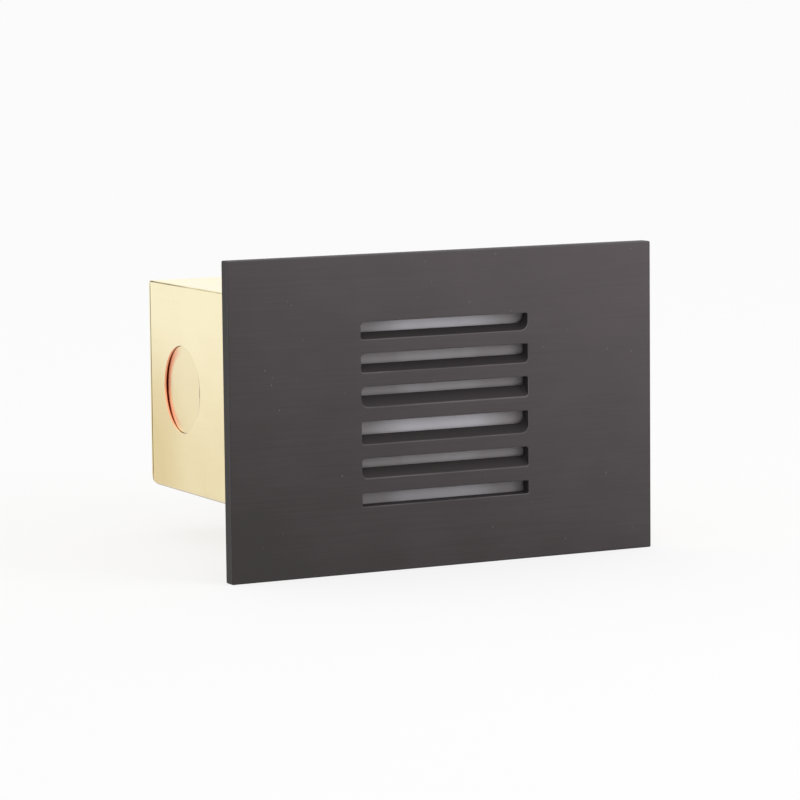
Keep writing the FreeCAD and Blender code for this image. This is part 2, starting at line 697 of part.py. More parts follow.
def reflector():
    """Pressed sheet dish with holes for the socket's screws and for the leads."""
    shell = dish(WEB_FRONT, 0.0).cut(dish(REFLECTOR_DEPTH, REFLECTOR_SHEET))
    start = Vector(0, REFLECTOR_DEPTH - SPARE, 0)
    shell = shell.cut(rod(BUSH_HOLE_RADIUS, start, ALONG_Y, REFLECTOR_SHEET + 2 * SPARE))
    for side in SIDES:
        hole = start + ALONG_X * (side * SOCKET_SCREW_SPACING / 2)
        shell = shell.cut(rod(M25_RADIUS + HOLE_CLEARANCE, hole, ALONG_Y, REFLECTOR_SHEET + 2 * SPARE))
    return shell


# Socket and lamp

def socket_body():
    """Ceramic block with two counterbored screw holes and a cavity for each contact."""
    body = slab(SOCKET_WIDTH, SOCKET_HEIGHT, SOCKET_CORNER_RADIUS, SOCKET_FRONT, REFLECTOR_DEPTH)
    for side in SIDES:
        start = Vector(side * SOCKET_SCREW_SPACING / 2, SOCKET_FRONT - SPARE, 0)
        body = body.cut(rod(M25_RADIUS + HOLE_CLEARANCE, start, ALONG_Y, SOCKET_DEPTH + 2 * SPARE))
        well_radius = M25_HEAD_RADIUS + HOLE_CLEARANCE
        body = body.cut(rod(well_radius, start, ALONG_Y, SOCKET_COUNTERBORE_DEPTH + SPARE))
        start = Vector(side * PIN_SPACING / 2, SOCKET_FRONT - SPARE, 0)
        body = body.cut(rod(PIN_RADIUS + 2 * CONTACT_CLEARANCE, start, ALONG_Y, SOCKET_DEPTH))
        body = body.cut(contact_block(side, CONTACT_CLEARANCE, REFLECTOR_DEPTH + SPARE))
    return body


def contact_block(side, clearance, back):
    """Block of one contact, or of the cavity around it when a clearance is added."""
    centre = side * PIN_SPACING / 2
    half_x = min(CONTACT_WIDTH, PIN_SPACING - CONTACT_WALL) / 2 + clearance
    half_z = CONTACT_HEIGHT / 2 + clearance
    return block((centre - half_x, centre + half_x), (CONTACT_FRONT - clearance, back), (-half_z, half_z))


def socket_contacts():
    """Two brass contacts, each bored for a lamp pin."""
    contacts = []
    for side in SIDES:
        contact = contact_block(side, 0.0, CONTACT_BACK)
        start = Vector(side * PIN_SPACING / 2, CONTACT_FRONT - SPARE, 0)
        depth = LAMP_BACK + PIN_LENGTH - CONTACT_FRONT + LAMP_SEAT_GAP
        contacts.append(contact.cut(rod(PIN_RADIUS + CONTACT_CLEARANCE, start, ALONG_Y, depth + SPARE)))
    return Part.makeCompound(contacts)


def socket_screws():
    """Two screws through the socket, the reflector and the bracket."""
    seat = SOCKET_FRONT + SOCKET_COUNTERBORE_DEPTH
    length = WEB_BACK + M25_NUT_THICKNESS + SCREW_END - seat
    screws = []
    for side in SIDES:
        place = Vector(side * SOCKET_SCREW_SPACING / 2, seat, 0)
        screws.append(slotted_screw(place, ALONG_Y, M25_RADIUS, length, M25_HEAD_RADIUS, M25_HEAD_HEIGHT))
    return Part.makeCompound(screws)


def socket_nuts():
    """Nuts of the socket's screws, behind the bracket's web."""
    hole = M25_RADIUS + THREAD_CLEARANCE
    nuts = []
    for side in SIDES:
        place = Vector(side * SOCKET_SCREW_SPACING / 2, WEB_BACK, 0)
        nuts.append(hex_nut(place, ALONG_Y, M25_NUT_FLATS, M25_NUT_THICKNESS, hole))
    return Part.makeCompound(nuts)


def wire_bush():
    """Plastic bush in the hole behind the socket, with its flange behind the web."""
    front = REFLECTOR_DEPTH + THREAD_CLEARANCE
    sleeve = rod(BUSH_HOLE_RADIUS - THREAD_CLEARANCE, Vector(0, front, 0), ALONG_Y, WEB_BACK - front)
    flange = rod(BUSH_FLANGE_RADIUS, Vector(0, WEB_BACK, 0), ALONG_Y, BUSH_FLANGE_THICKNESS)
    bore = rod(BUSH_BORE_RADIUS, Vector(0, front - SPARE, 0), ALONG_Y, WEB_BACK - front + 3 * SPARE)
    return joined([sleeve, flange]).cut(bore)


def lamp_base():
    """Round foot of the lamp, which seats on the socket."""
    base = rod(LAMP_BASE_RADIUS, Vector(0, BOARD_BACK, 0), ALONG_Y, LAMP_BASE_DEPTH)
    for side in SIDES:
        start = Vector(side * PIN_SPACING / 2, LAMP_BACK - PIN_ROOT, 0)
        base = base.cut(rod(PIN_RADIUS, start, ALONG_Y, PIN_ROOT + SPARE))
    return base


def lamp_pins():
    """The lamp's two pins, set in its base."""
    length = PIN_ROOT + PIN_LENGTH
    starts = [Vector(side * PIN_SPACING / 2, LAMP_BACK - PIN_ROOT, 0) for side in SIDES]
    return Part.makeCompound([rod(PIN_RADIUS, start, ALONG_Y, length) for start in starts])


def lamp_board():
    """Round circuit board on the front of the lamp's base."""
    return rod(LAMP_BOARD_RADIUS, Vector(0, BOARD_FRONT, 0), ALONG_Y, LAMP_BOARD_THICKNESS)


def led_chips():
    """Light-emitting chips in rings on the front of the board."""
    chips = []
    for count, radius in ((OUTER_CHIPS, OUTER_CHIP_RADIUS), (INNER_CHIPS, INNER_CHIP_RADIUS)):
        for number in range(count):
            chip = block(
                (-CHIP_WIDTH / 2, CHIP_WIDTH / 2),
                (BOARD_FRONT - CHIP_THICKNESS, BOARD_FRONT),
                (radius - CHIP_LENGTH / 2, radius + CHIP_LENGTH / 2),
            )
            chip.rotate(Vector(0, 0, 0), ALONG_Y, 360.0 * number / count)
            chips.append(chip)
    return Part.makeCompound(chips)


# Terminal block and leads

def terminal_block():
    """Plastic block with two barrel bores, a well over each terminal screw and a fixing hole."""
    half = BLOCK_WIDTH / 2
    body = block((-half, half), (BLOCK_DEPTH, BLOCK_DEPTH + BLOCK_LENGTH), (BLOCK_BASE, BLOCK_TOP))
    for side in SIDES:
        x = side * BARREL_PITCH / 2
        start = Vector(x, BLOCK_DEPTH - SPARE, BARREL_Z)
        body = body.cut(rod(BARREL_RADIUS + THREAD_CLEARANCE, start, ALONG_Y, BLOCK_LENGTH + 2 * SPARE))
        for y in TERMINAL_SCREW_PLACES:
            well = rod(TERMINAL_WELL_RADIUS, Vector(x, y, BARREL_Z), ALONG_Z, BLOCK_TOP - BARREL_Z + SPARE)
            body = body.cut(well)
    start = Vector(0, BLOCK_CENTRE, BLOCK_BASE - SPARE)
    hole = rod(M3_RADIUS + HOLE_CLEARANCE, start, ALONG_Z, BLOCK_HEIGHT + 2 * SPARE)
    recess_floor = Vector(0, BLOCK_CENTRE, BLOCK_TOP - BLOCK_RECESS_DEPTH)
    return body.cut(hole).cut(rod(BLOCK_RECESS_RADIUS, recess_floor, ALONG_Z, BLOCK_RECESS_DEPTH + SPARE))


def terminal_barrels():
    """Two brass barrels that join the leads to the supply wires."""
    barrels = []
    for side in SIDES:
        start = Vector(side * BARREL_PITCH / 2, BARREL_FRONT, BARREL_Z)
        barrel = rod(BARREL_RADIUS, start, ALONG_Y, BARREL_LENGTH)
        barrel = barrel.cut(rod(BARREL_BORE, start - ALONG_Y * SPARE, ALONG_Y, BARREL_LENGTH + 2 * SPARE))
        for y in TERMINAL_SCREW_PLACES:
            middle = Vector(start.x, y, BARREL_Z)
            hole = rod(TERMINAL_SCREW_RADIUS + THREAD_CLEARANCE, middle, ALONG_Z, 2 * BARREL_RADIUS)
            barrel = barrel.cut(hole)
        barrels.append(barrel)
    return Part.makeCompound(barrels)


def terminal_screws():
    """Four screws in the barrels, driven from the top of the block."""
    screws = []
    for side in SIDES:
        for y in TERMINAL_SCREW_PLACES:
            place = Vector(side * BARREL_PITCH / 2, y, BARREL_Z + BARREL_RADIUS)
            screws.append(slotted_screw(
                place, -ALONG_Z, TERMINAL_SCREW_RADIUS, TERMINAL_SCREW_REACH,
                TERMINAL_SCREW_HEAD_RADIUS, TERMINAL_SCREW_HEAD_HEIGHT,
            ))
    return Part.makeCompound(screws)


def block_screw():
    """Screw that fixes the terminal block to the bracket's lower leg."""
    seat = BLOCK_TOP - BLOCK_RECESS_DEPTH
    length = seat - BLOCK_BASE + BRACKET_SHEET + M3_NUT_THICKNESS + SCREW_END
    return slotted_screw(
        Vector(0, BLOCK_CENTRE, seat), -ALONG_Z, M3_RADIUS, length, M3_HEAD_RADIUS, M3_HEAD_HEIGHT
    )


def block_nut():
    """Nut of the terminal block's screw, under the bracket's lower leg."""
    place = Vector(0, BLOCK_CENTRE, BLOCK_BASE - BRACKET_SHEET)
    return hex_nut(place, -ALONG_Z, M3_NUT_FLATS, M3_NUT_THICKNESS, M3_RADIUS + THREAD_CLEARANCE)


def lamp_lead(side):
    """Insulated lead from one contact, through the bush, to one barrel."""
    start = Vector(side * PIN_SPACING / 2, CONTACT_BACK, 0)
    end = Vector(side * BARREL_PITCH / 2, BARREL_FRONT, BARREL_Z)
    points = [start, start + ALONG_Y * LEAD_FIRST_RUN, end - ALONG_Y * LEAD_LAST_RUN, end]
    radii = []
    for before, corner, after in zip(points, points[1:], points[2:]):
        shorter = min(before.distanceToPoint(corner), corner.distanceToPoint(after))
        turn = (corner - before).getAngle(after - corner)
        radii.append(LEAD_ARC_SHARE * shorter / math.tan(turn / 2))
    spine = rounded_wire(points, radii)
    profile = Part.Wire(Part.Circle(start, ALONG_Y, LEAD_DIAMETER / 2).toShape())
    lead = spine.makePipeShell([profile], True, False)
    expected = math.pi * LEAD_DIAMETER ** 2 / 4 * spine.Length
    print("lead radii", [round(radius, 2) for radius in radii], "length", round(spine.Length, 2),
          "volume share", round(lead.Volume / expected, 4))
    return lead


def pieces():
    """Every piece of the light, by the name of its node."""
    return {
        "faceplate": faceplate(),
        "lens_gasket": lens_gasket(),
        "lens_glass": lens_glass(),
        "lens_frame": lens_frame(),
        "lens_frame_screws": lens_frame_screws(),
        "spring_clip_left": spring_clip(-1),
        "spring_clip_right": spring_clip(1),
        "clip_rivets": clip_rivets(),
        "back_box": back_box(),
        "knockout_left": knockout(-1),
        "knockout_right": knockout(1),
        "lamp_bracket": lamp_bracket(),
        "bracket_rivets": bracket_rivets(),
        "reflector": reflector(),
        "socket_body": socket_body(),
        "socket_contacts": socket_contacts(),
        "socket_screws": socket_screws(),
        "socket_nuts": socket_nuts(),
        "wire_bush": wire_bush(),
        "lamp_base": lamp_base(),
        "lamp_pins": lamp_pins(),
        "lamp_board": lamp_board(),
        "led_chips": led_chips(),
        "terminal_block": terminal_block(),
        "terminal_barrels": terminal_barrels(),
        "terminal_screws": terminal_screws(),
        "block_screw": block_screw(),
        "block_nut": block_nut(),
        "lamp_lead_left": lamp_lead(-1),
        "lamp_lead_right": lamp_lead(1),
    }


os.makedirs("parts", exist_ok=True)
for name, shape in pieces().items():
    shape.exportStep("parts/" + name + ".step")
    state = "valid" if shape.isValid() else "INVALID"
    print(name, len(shape.Solids), "solids", round(shape.Volume, 2), "mm3", state)
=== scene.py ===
"""Dresses the recessed step light: a finish for every solid, and finer pieces where a solid is plain.

Sizes in the classes are in millimetres, and Blender works in metres. The origin is the centre of the wall
plane, +X runs to the right of someone facing the light, +Y goes into the wall and +Z is up.
"""

import logging
import math
from dataclasses import dataclass, field
from enum import Enum
from functools import reduce
from typing import Any, Dict, List, Optional, Sequence, Tuple, Union

import bmesh
import bpy
from mathutils import Matrix, Vector


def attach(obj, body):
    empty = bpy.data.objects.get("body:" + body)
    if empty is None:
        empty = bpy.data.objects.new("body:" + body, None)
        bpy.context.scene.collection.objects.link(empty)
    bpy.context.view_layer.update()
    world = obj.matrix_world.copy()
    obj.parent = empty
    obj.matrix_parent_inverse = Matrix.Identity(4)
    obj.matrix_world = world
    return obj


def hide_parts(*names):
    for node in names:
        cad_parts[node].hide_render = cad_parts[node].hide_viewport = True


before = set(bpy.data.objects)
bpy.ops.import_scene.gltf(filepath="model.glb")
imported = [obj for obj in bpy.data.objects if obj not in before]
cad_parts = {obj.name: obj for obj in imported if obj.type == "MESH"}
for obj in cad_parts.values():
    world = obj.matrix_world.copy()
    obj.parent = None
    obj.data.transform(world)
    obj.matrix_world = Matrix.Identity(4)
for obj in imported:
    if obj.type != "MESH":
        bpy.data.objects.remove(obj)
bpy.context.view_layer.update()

MM = 0.001
Colour = Tuple[float, float, float]
Point = Tuple[float, float, float]
Pair = Tuple[float, float]
Profile = Sequence[Pair]
Places = Sequence[Tuple[Point, Point]]
WHITE: Colour = (1.0, 1.0, 1.0)
INWARD: Point = (0.0, 1.0, 0.0)
OUTWARD: Point = (0.0, -1.0, 0.0)
UPWARD: Point = (0.0, 0.0, 1.0)
DOWNWARD: Point = (0.0, 0.0, -1.0)
log = logging.getLogger("step_light")


def tint(red: int, green: int, blue: int) -> Colour:
    """Turns a colour as it is seen on a screen into the linear colour that a shader takes.

    Args:
        red: Red from 0 to 255.
        green: Green from 0 to 255.
        blue: Blue from 0 to 255.

    Returns:
        The three linear values.
    """
    def channel(value: int) -> float:
        """One linear value, by the usual curve of screens."""
        share = value / 255
        return share / 12.92 if share <= 0.04045 else ((share + 0.055) / 1.055) ** 2.4

    return channel(red), channel(green), channel(blue)


class Grain(Enum):
    """The way in which a surface was rolled, brushed or turned."""

    ACROSS = (0, 1, 1)
    INWARD = (1, 0, 1)
    EVEN = (1, 1, 1)

    def stretch(self, along: float, across: float = 0.0) -> Point:
        """Cycles per metre on each axis: few along the grain, and many across it unless that is 0."""
        return tuple((across or along) if cut else along for cut in self.value)


class Side(Enum):
    """The two sides of the light for someone facing it."""

    LEFT = -1
    RIGHT = 1


# Node trees

class Link:
    """A socket in a node tree. Arithmetic on it adds Math nodes."""

    def __init__(self, tree: "Tree", socket: bpy.types.NodeSocket) -> None:
        """Wraps a socket of a tree."""
        self.tree = tree
        self.socket = socket

    def __add__(self, other: "Value") -> "Link":
        """Sum."""
        return self.tree.maths("ADD", self, other)

    def __radd__(self, other: "Value") -> "Link":
        """Sum with a plain number first."""
        return self.tree.maths("ADD", other, self)

    def __sub__(self, other: "Value") -> "Link":
        """Difference."""
        return self.tree.maths("SUBTRACT", self, other)

    def __rsub__(self, other: "Value") -> "Link":
        """Difference from a plain number."""
        return self.tree.maths("SUBTRACT", other, self)

    def __mul__(self, other: "Value") -> "Link":
        """Product."""
        return self.tree.maths("MULTIPLY", self, other)

    def __rmul__(self, other: "Value") -> "Link":
        """Product with a plain number first."""
        return self.tree.maths("MULTIPLY", other, self)

    def __truediv__(self, other: "Value") -> "Link":
        """Quotient."""
        return self.tree.maths("DIVIDE", self, other)

    def __rtruediv__(self, other: "Value") -> "Link":
        """Quotient of a plain number."""
        return self.tree.maths("DIVIDE", other, self)

    def __abs__(self) -> "Link":
        """Size without its sign."""
        return self.tree.maths("ABSOLUTE", self)

    def highest(self, other: "Value") -> "Link":
        """The larger of two values."""
        return self.tree.maths("MAXIMUM", self, other)


Value = Union[float, Link]


class Tree:
    """A node tree with one way to add any node."""

    def __init__(self, tree: bpy.types.NodeTree) -> None:
        """Takes over a node tree."""
        self.tree = tree

    def node(
        self, kind: str, settings: Optional[Dict[str, Any]] = None,
        inputs: Optional[Dict[Union[str, int], Any]] = None, output: Union[str, int] = 0,
    ) -> Link:
        """Adds a node.

        Args:
            kind: The node's type.
            settings: Properties of the node, set first. "stops" fills a ramp with places and colours.
            inputs: Values or links by the socket's name or number.
            output: The socket that is returned.

        Returns:
            The chosen output socket.
        """
        made = self.tree.nodes.new(kind)
        for name, value in (settings or {}).items():
            if name == "stops":
                self.fill_ramp(made.color_ramp, value)
            else:
                setattr(made, name, value)
        for key, value in (inputs or {}).items():
            self.feed(made.inputs[key], value)
        return Link(self, made.outputs[output])

    def feed(self, socket: bpy.types.NodeSocket, value: Any) -> None:
        """Links a socket, or sets its value.

        Args:
            socket: The input to fill.
            value: A link, or the socket's new value.
        """
        if isinstance(value, Link):
            self.tree.links.new(value.socket, socket)
        else:
            socket.default_value = value

    def fill_ramp(self, ramp: bpy.types.ColorRamp, stops: Sequence[Tuple[float, Colour]]) -> None:
        """Sets a ramp's stops.

        Args:
            ramp: The ramp, which starts with two stops.
            stops: Places from 0 to 1 with their colours.
        """
        while len(ramp.elements) < len(stops):
            ramp.elements.new(1.0)
        for element, (place, colour) in zip(ramp.elements, stops):
            element.position = place
            element.color = (*colour, 1.0)

    def maths(self, operation: str, *values: Value) -> Link:
        """Adds a Math node."""
        return self.node("ShaderNodeMath", {"operation": operation}, dict(enumerate(values)))

    def vector(self, operation: str, first: Link, second: Union[Link, Point]) -> Link:
        """Adds a Vector Math node."""
        return self.node("ShaderNodeVectorMath", {"operation": operation}, {0: first, 1: second})


class ShaderSheet(Tree):
    """The nodes of one material, with the patterns that its finishes share."""

    def __init__(self, name: str) -> None:
        """Starts a material with its Principled shader.

        Args:
            name: Name of the material.
        """
        self.material = bpy.data.materials.new(name)
        self.material.use_nodes = True
        super().__init__(self.material.node_tree)
        self.shader = self.tree.nodes["Principled BSDF"]
        self.place = self.node("ShaderNodeTexCoord", output="Object")

    def set(self, **values: Any) -> None:
        """Feeds sockets of the shader, named with underscores for spaces.

        Args:
            values: Numbers, colours or links.
        """
        for name, value in values.items():
            title = " ".join(word if word == "IOR" else word.capitalize() for word in name.split("_"))
            if isinstance(value, tuple) and len(value) == 3 and "Color" in title:
                value = (*value, 1.0)
            self.feed(self.shader.inputs[title], value)

    def noise(self, stretch: Point, detail: float = 3.0, rough: float = 0.55, distort: float = 0.0) -> Link:
        """Noise on the object's own coordinates.

        Args:
            stretch: Cycles per metre on each axis.
            detail: Octaves.
            rough: How strong the finer octaves are.
            distort: How far the pattern is bent.

        Returns:
            A value about 0.5.
        """
        place = self.vector("MULTIPLY", self.place, stretch)
        return self.node("ShaderNodeTexNoise", {}, {
            "Vector": place, "Scale": 1.0, "Detail": detail, "Roughness": rough, "Distortion": distort,
        })

    def cells(self, scale: float) -> Link:
        """Distance from the middle of the nearest cell, on the object's own coordinates."""
        return self.node("ShaderNodeTexVoronoi", {}, {"Vector": self.place, "Scale": scale}, "Distance")

    def ease(self, value: Value, low: float, high: float) -> Link:
        """A smooth step from 0 at the low value to 1 at the high one."""
        return self.node("ShaderNodeMapRange", {"interpolation_type": "SMOOTHSTEP"}, {
            "Value": value, "From Min": low, "From Max": high, "To Min": 0.0, "To Max": 1.0,
        })

    def past(self, length: Value, low: float, high: float) -> Link:
        """A smooth step from 0 at the low length to 1 at the high one, both in millimetres."""
        return self.ease(length, low * MM, high * MM)

    def span(self, value: Value, low: float, high: float) -> Link:
        """Spreads a noise value, which mostly lies between 0.3 and 0.7, between two results."""
        return self.node("ShaderNodeMapRange", {}, {
            "Value": value, "From Min": 0.3, "From Max": 0.7, "To Min": low, "To Max": high,
        })

    def sway(self, value: Value, reach: float) -> Link:
        """Spreads a noise value evenly to both sides of 0."""
        return self.span(value, -reach, reach)

    def distance(self, first: Link, second: Link) -> Link:
        """How far a place is from the centre, from its two coordinates."""
        return self.maths("SQRT", first * first + second * second)

    def blend(self, share: Value, first: Union[Link, Colour], second: Union[Link, Colour]) -> Link:
        """Mixes two colours.

        Args:
            share: How much of the second colour shows.
            first: Colour at 0.
            second: Colour at 1.

        Returns:
            The mixed colour.
        """
        colours = [value if isinstance(value, Link) else (*value, 1.0) for value in (first, second)]
        return self.node("ShaderNodeMix", {"data_type": "RGBA", "clamp_factor": True}, {
            0: share, 6: colours[0], 7: colours[1],
        }, 2)

    def relief(self, height: Value, depth: float, strength: float, below: Optional[Link] = None) -> Link:
        """Turns a height into a bumped normal.

        Args:
            height: Height from 0 to 1.
            depth: Millimetres between 0 and 1.
            strength: Share of the effect.
            below: A normal on which the relief lies.

        Returns:
            The normal.
        """
        inputs: Dict[Union[str, int], Any] = {"Strength": strength, "Distance": depth * MM, "Height": height}
        if below is not None:
            inputs["Normal"] = below
        return self.node("ShaderNodeBump", {}, inputs, "Normal")

    def axes(self, place: Optional[Link] = None) -> Tuple[Link, Link, Link]:
        """Splits a place.

        Args:
            place: The place, or nothing for the object's own coordinates.

        Returns:
            Its X, Y and Z.
        """
        parts = self.node("ShaderNodeSeparateXYZ", {}, {0: place or self.place}).socket.node
        return tuple(Link(self, parts.outputs[number]) for number in range(3))


# Finishes

@dataclass(frozen=True)
class Finish:
    """A finish, made into a material on its first use."""

    name: str
    slot: str
    colour: Colour
    roughness: float

    def material(self) -> bpy.types.Material:
        """Gives the finish's material, and paints it when it is first asked for.

        Returns:
            The material.
        """
        made = bpy.data.materials.get(self.name)
        if made is None:
            sheet = ShaderSheet(self.name)
            self.paint(sheet)
            made = sheet.material
        return made

    def paint(self, sheet: ShaderSheet) -> None:
        """Draws the finish on a sheet of nodes."""
        raise NotImplementedError


@dataclass(frozen=True)
class Bronze(Finish):
    """Dark bronze brushed in front, with darker unbrushed bronze and painted shade on its sides and louvre
    walls.

    Shares are parts of 1: how much of another colour shows.
    """

    light: Colour = tint(78, 71, 73)
    # Colour of the darker unbrushed bronze and of the painted shade on the sides, back and louvre walls.
    dark: Colour = tint(50, 45, 46)
    # Colour of the specks and the worn rim, and of the painted highlight on the louvres' front edges.
    wear_and_highlight: Colour = tint(134, 128, 129)
    half_width: float = 57.15
    half_height: float = 38.1
    front: float = -3.2
    edge: float = 0.3
    louvre_x: float = 23.2
    louvre_z: float = 22.6
    border: float = 0.1
    middle_share: float = 0.3
    painted_light_across: float = 0.3
    # Painted light: shares by which the bronze grows paler to the right and upwards.
    painted_light_upwards: float = 0.4
    speck_share: float = 0.35
    # How much painted shade darkens the sides and back.
    unbrushed_shade_share: float = 0.75
    rim_wear: Pair = (0.0, 0.12)
    # Spread of the painted highlight on the louvres' front edges.
    edge_highlight: Pair = (0.05, 0.5)

    def louvres(self, sheet: ShaderSheet) -> Tuple[Link, Link]:
        """Finds the louvres.

        Args:
            sheet: The sheet of nodes.

        Returns:
            Where their walls are, for painted shade, and where their front edges are, for a painted
            highlight.
        """
        along_x, along_y, along_z = sheet.axes()
        within_x = 1.0 - sheet.past(abs(along_x), self.louvre_x - self.border, self.louvre_x)
        within_z = 1.0 - sheet.past(abs(along_z), self.louvre_z - self.border, self.louvre_z)
        inside = within_x * within_z
        depth = along_y - self.front * MM
        shaded_walls = sheet.past(depth, 0.6 * self.edge, self.edge)
        edges = sheet.past(depth, 0.2 * self.border, 0.2 * self.edge)
        return inside * shaded_walls, inside * edges * (1.0 - shaded_walls)

    def rim(self, sheet: ShaderSheet) -> Link:
        """Finds the rounded outer edge.

        Args:
            sheet: The sheet of nodes.

        Returns:
            Where the edge is.
        """
        along_x, _, along_z = sheet.axes()
        past_sides = abs(along_x) - (self.half_width - self.edge) * MM
        past_ends = abs(along_z) - (self.half_height - self.edge) * MM
        return sheet.past(past_sides.highest(past_ends), 0.3 * self.edge, self.edge)

    def paint(self, sheet: ShaderSheet) -> None:
        """Paints brushing, specks, a worn rim, and painted light, shade and highlights.

        Args:
            sheet: The sheet of nodes.
        """
        strokes = sheet.noise(Grain.ACROSS.stretch(24.0, 1500.0), detail=5.0, rough=0.7)
        hairs = sheet.noise(Grain.ACROSS.stretch(90.0, 5200.0), detail=2.0, rough=0.5)
        clouds = sheet.noise(Grain.EVEN.stretch(26.0), detail=4.0, rough=0.6, distort=0.5)
        smudges = sheet.noise(Grain.ACROSS.stretch(45.0, 110.0))
        rare = sheet.ease(sheet.noise(Grain.EVEN.stretch(260.0), detail=1.0), 0.58, 0.63)
        specks = (1.0 - sheet.ease(sheet.cells(430.0), 0.04, 0.1)) * rare
        shaded_walls, edges = self.louvres(sheet)
        along_x, along_y, along_z = sheet.axes()
        # Darker unbrushed bronze and painted shade behind the front face, on the sides, back and louvre
        # walls.
        unbrushed_and_shaded = sheet.past(along_y - self.front * MM, self.edge, 1.6 * self.edge)
        # Painted light: the colour grows paler to the right and upwards.
        across = along_x * (self.painted_light_across / (2 * self.half_width * MM))
        lighter_upwards = along_z * (self.painted_light_upwards / (2 * self.half_height * MM))
        share = (across + lighter_upwards + self.middle_share + sheet.sway(strokes, 0.06) + sheet.sway(hairs, 0.03)
                 + sheet.sway(clouds, 0.06) + sheet.sway(smudges, 0.05))
        colour = sheet.blend(share, self.colour, self.light)
        colour = sheet.blend(specks * self.speck_share, colour, self.wear_and_highlight)
        colour = sheet.blend(self.rim(sheet) * sheet.span(strokes, *self.rim_wear), colour, self.wear_and_highlight)
        # Painted highlight along the louvres' front edges.
        colour = sheet.blend(edges * sheet.span(smudges, *self.edge_highlight), colour, self.wear_and_highlight)
        colour = sheet.blend((unbrushed_and_shaded * self.unbrushed_shade_share).highest(shaded_walls), colour, self.dark)
        rough = sheet.span(strokes, -0.04, 0.05) + unbrushed_and_shaded * 0.2 + self.roughness
        normal = sheet.relief(strokes * 0.6 + hairs * 0.4, depth=0.01, strength=0.3)
        sheet.set(base_color=colour, metallic=0.35, roughness=rough, normal=normal)


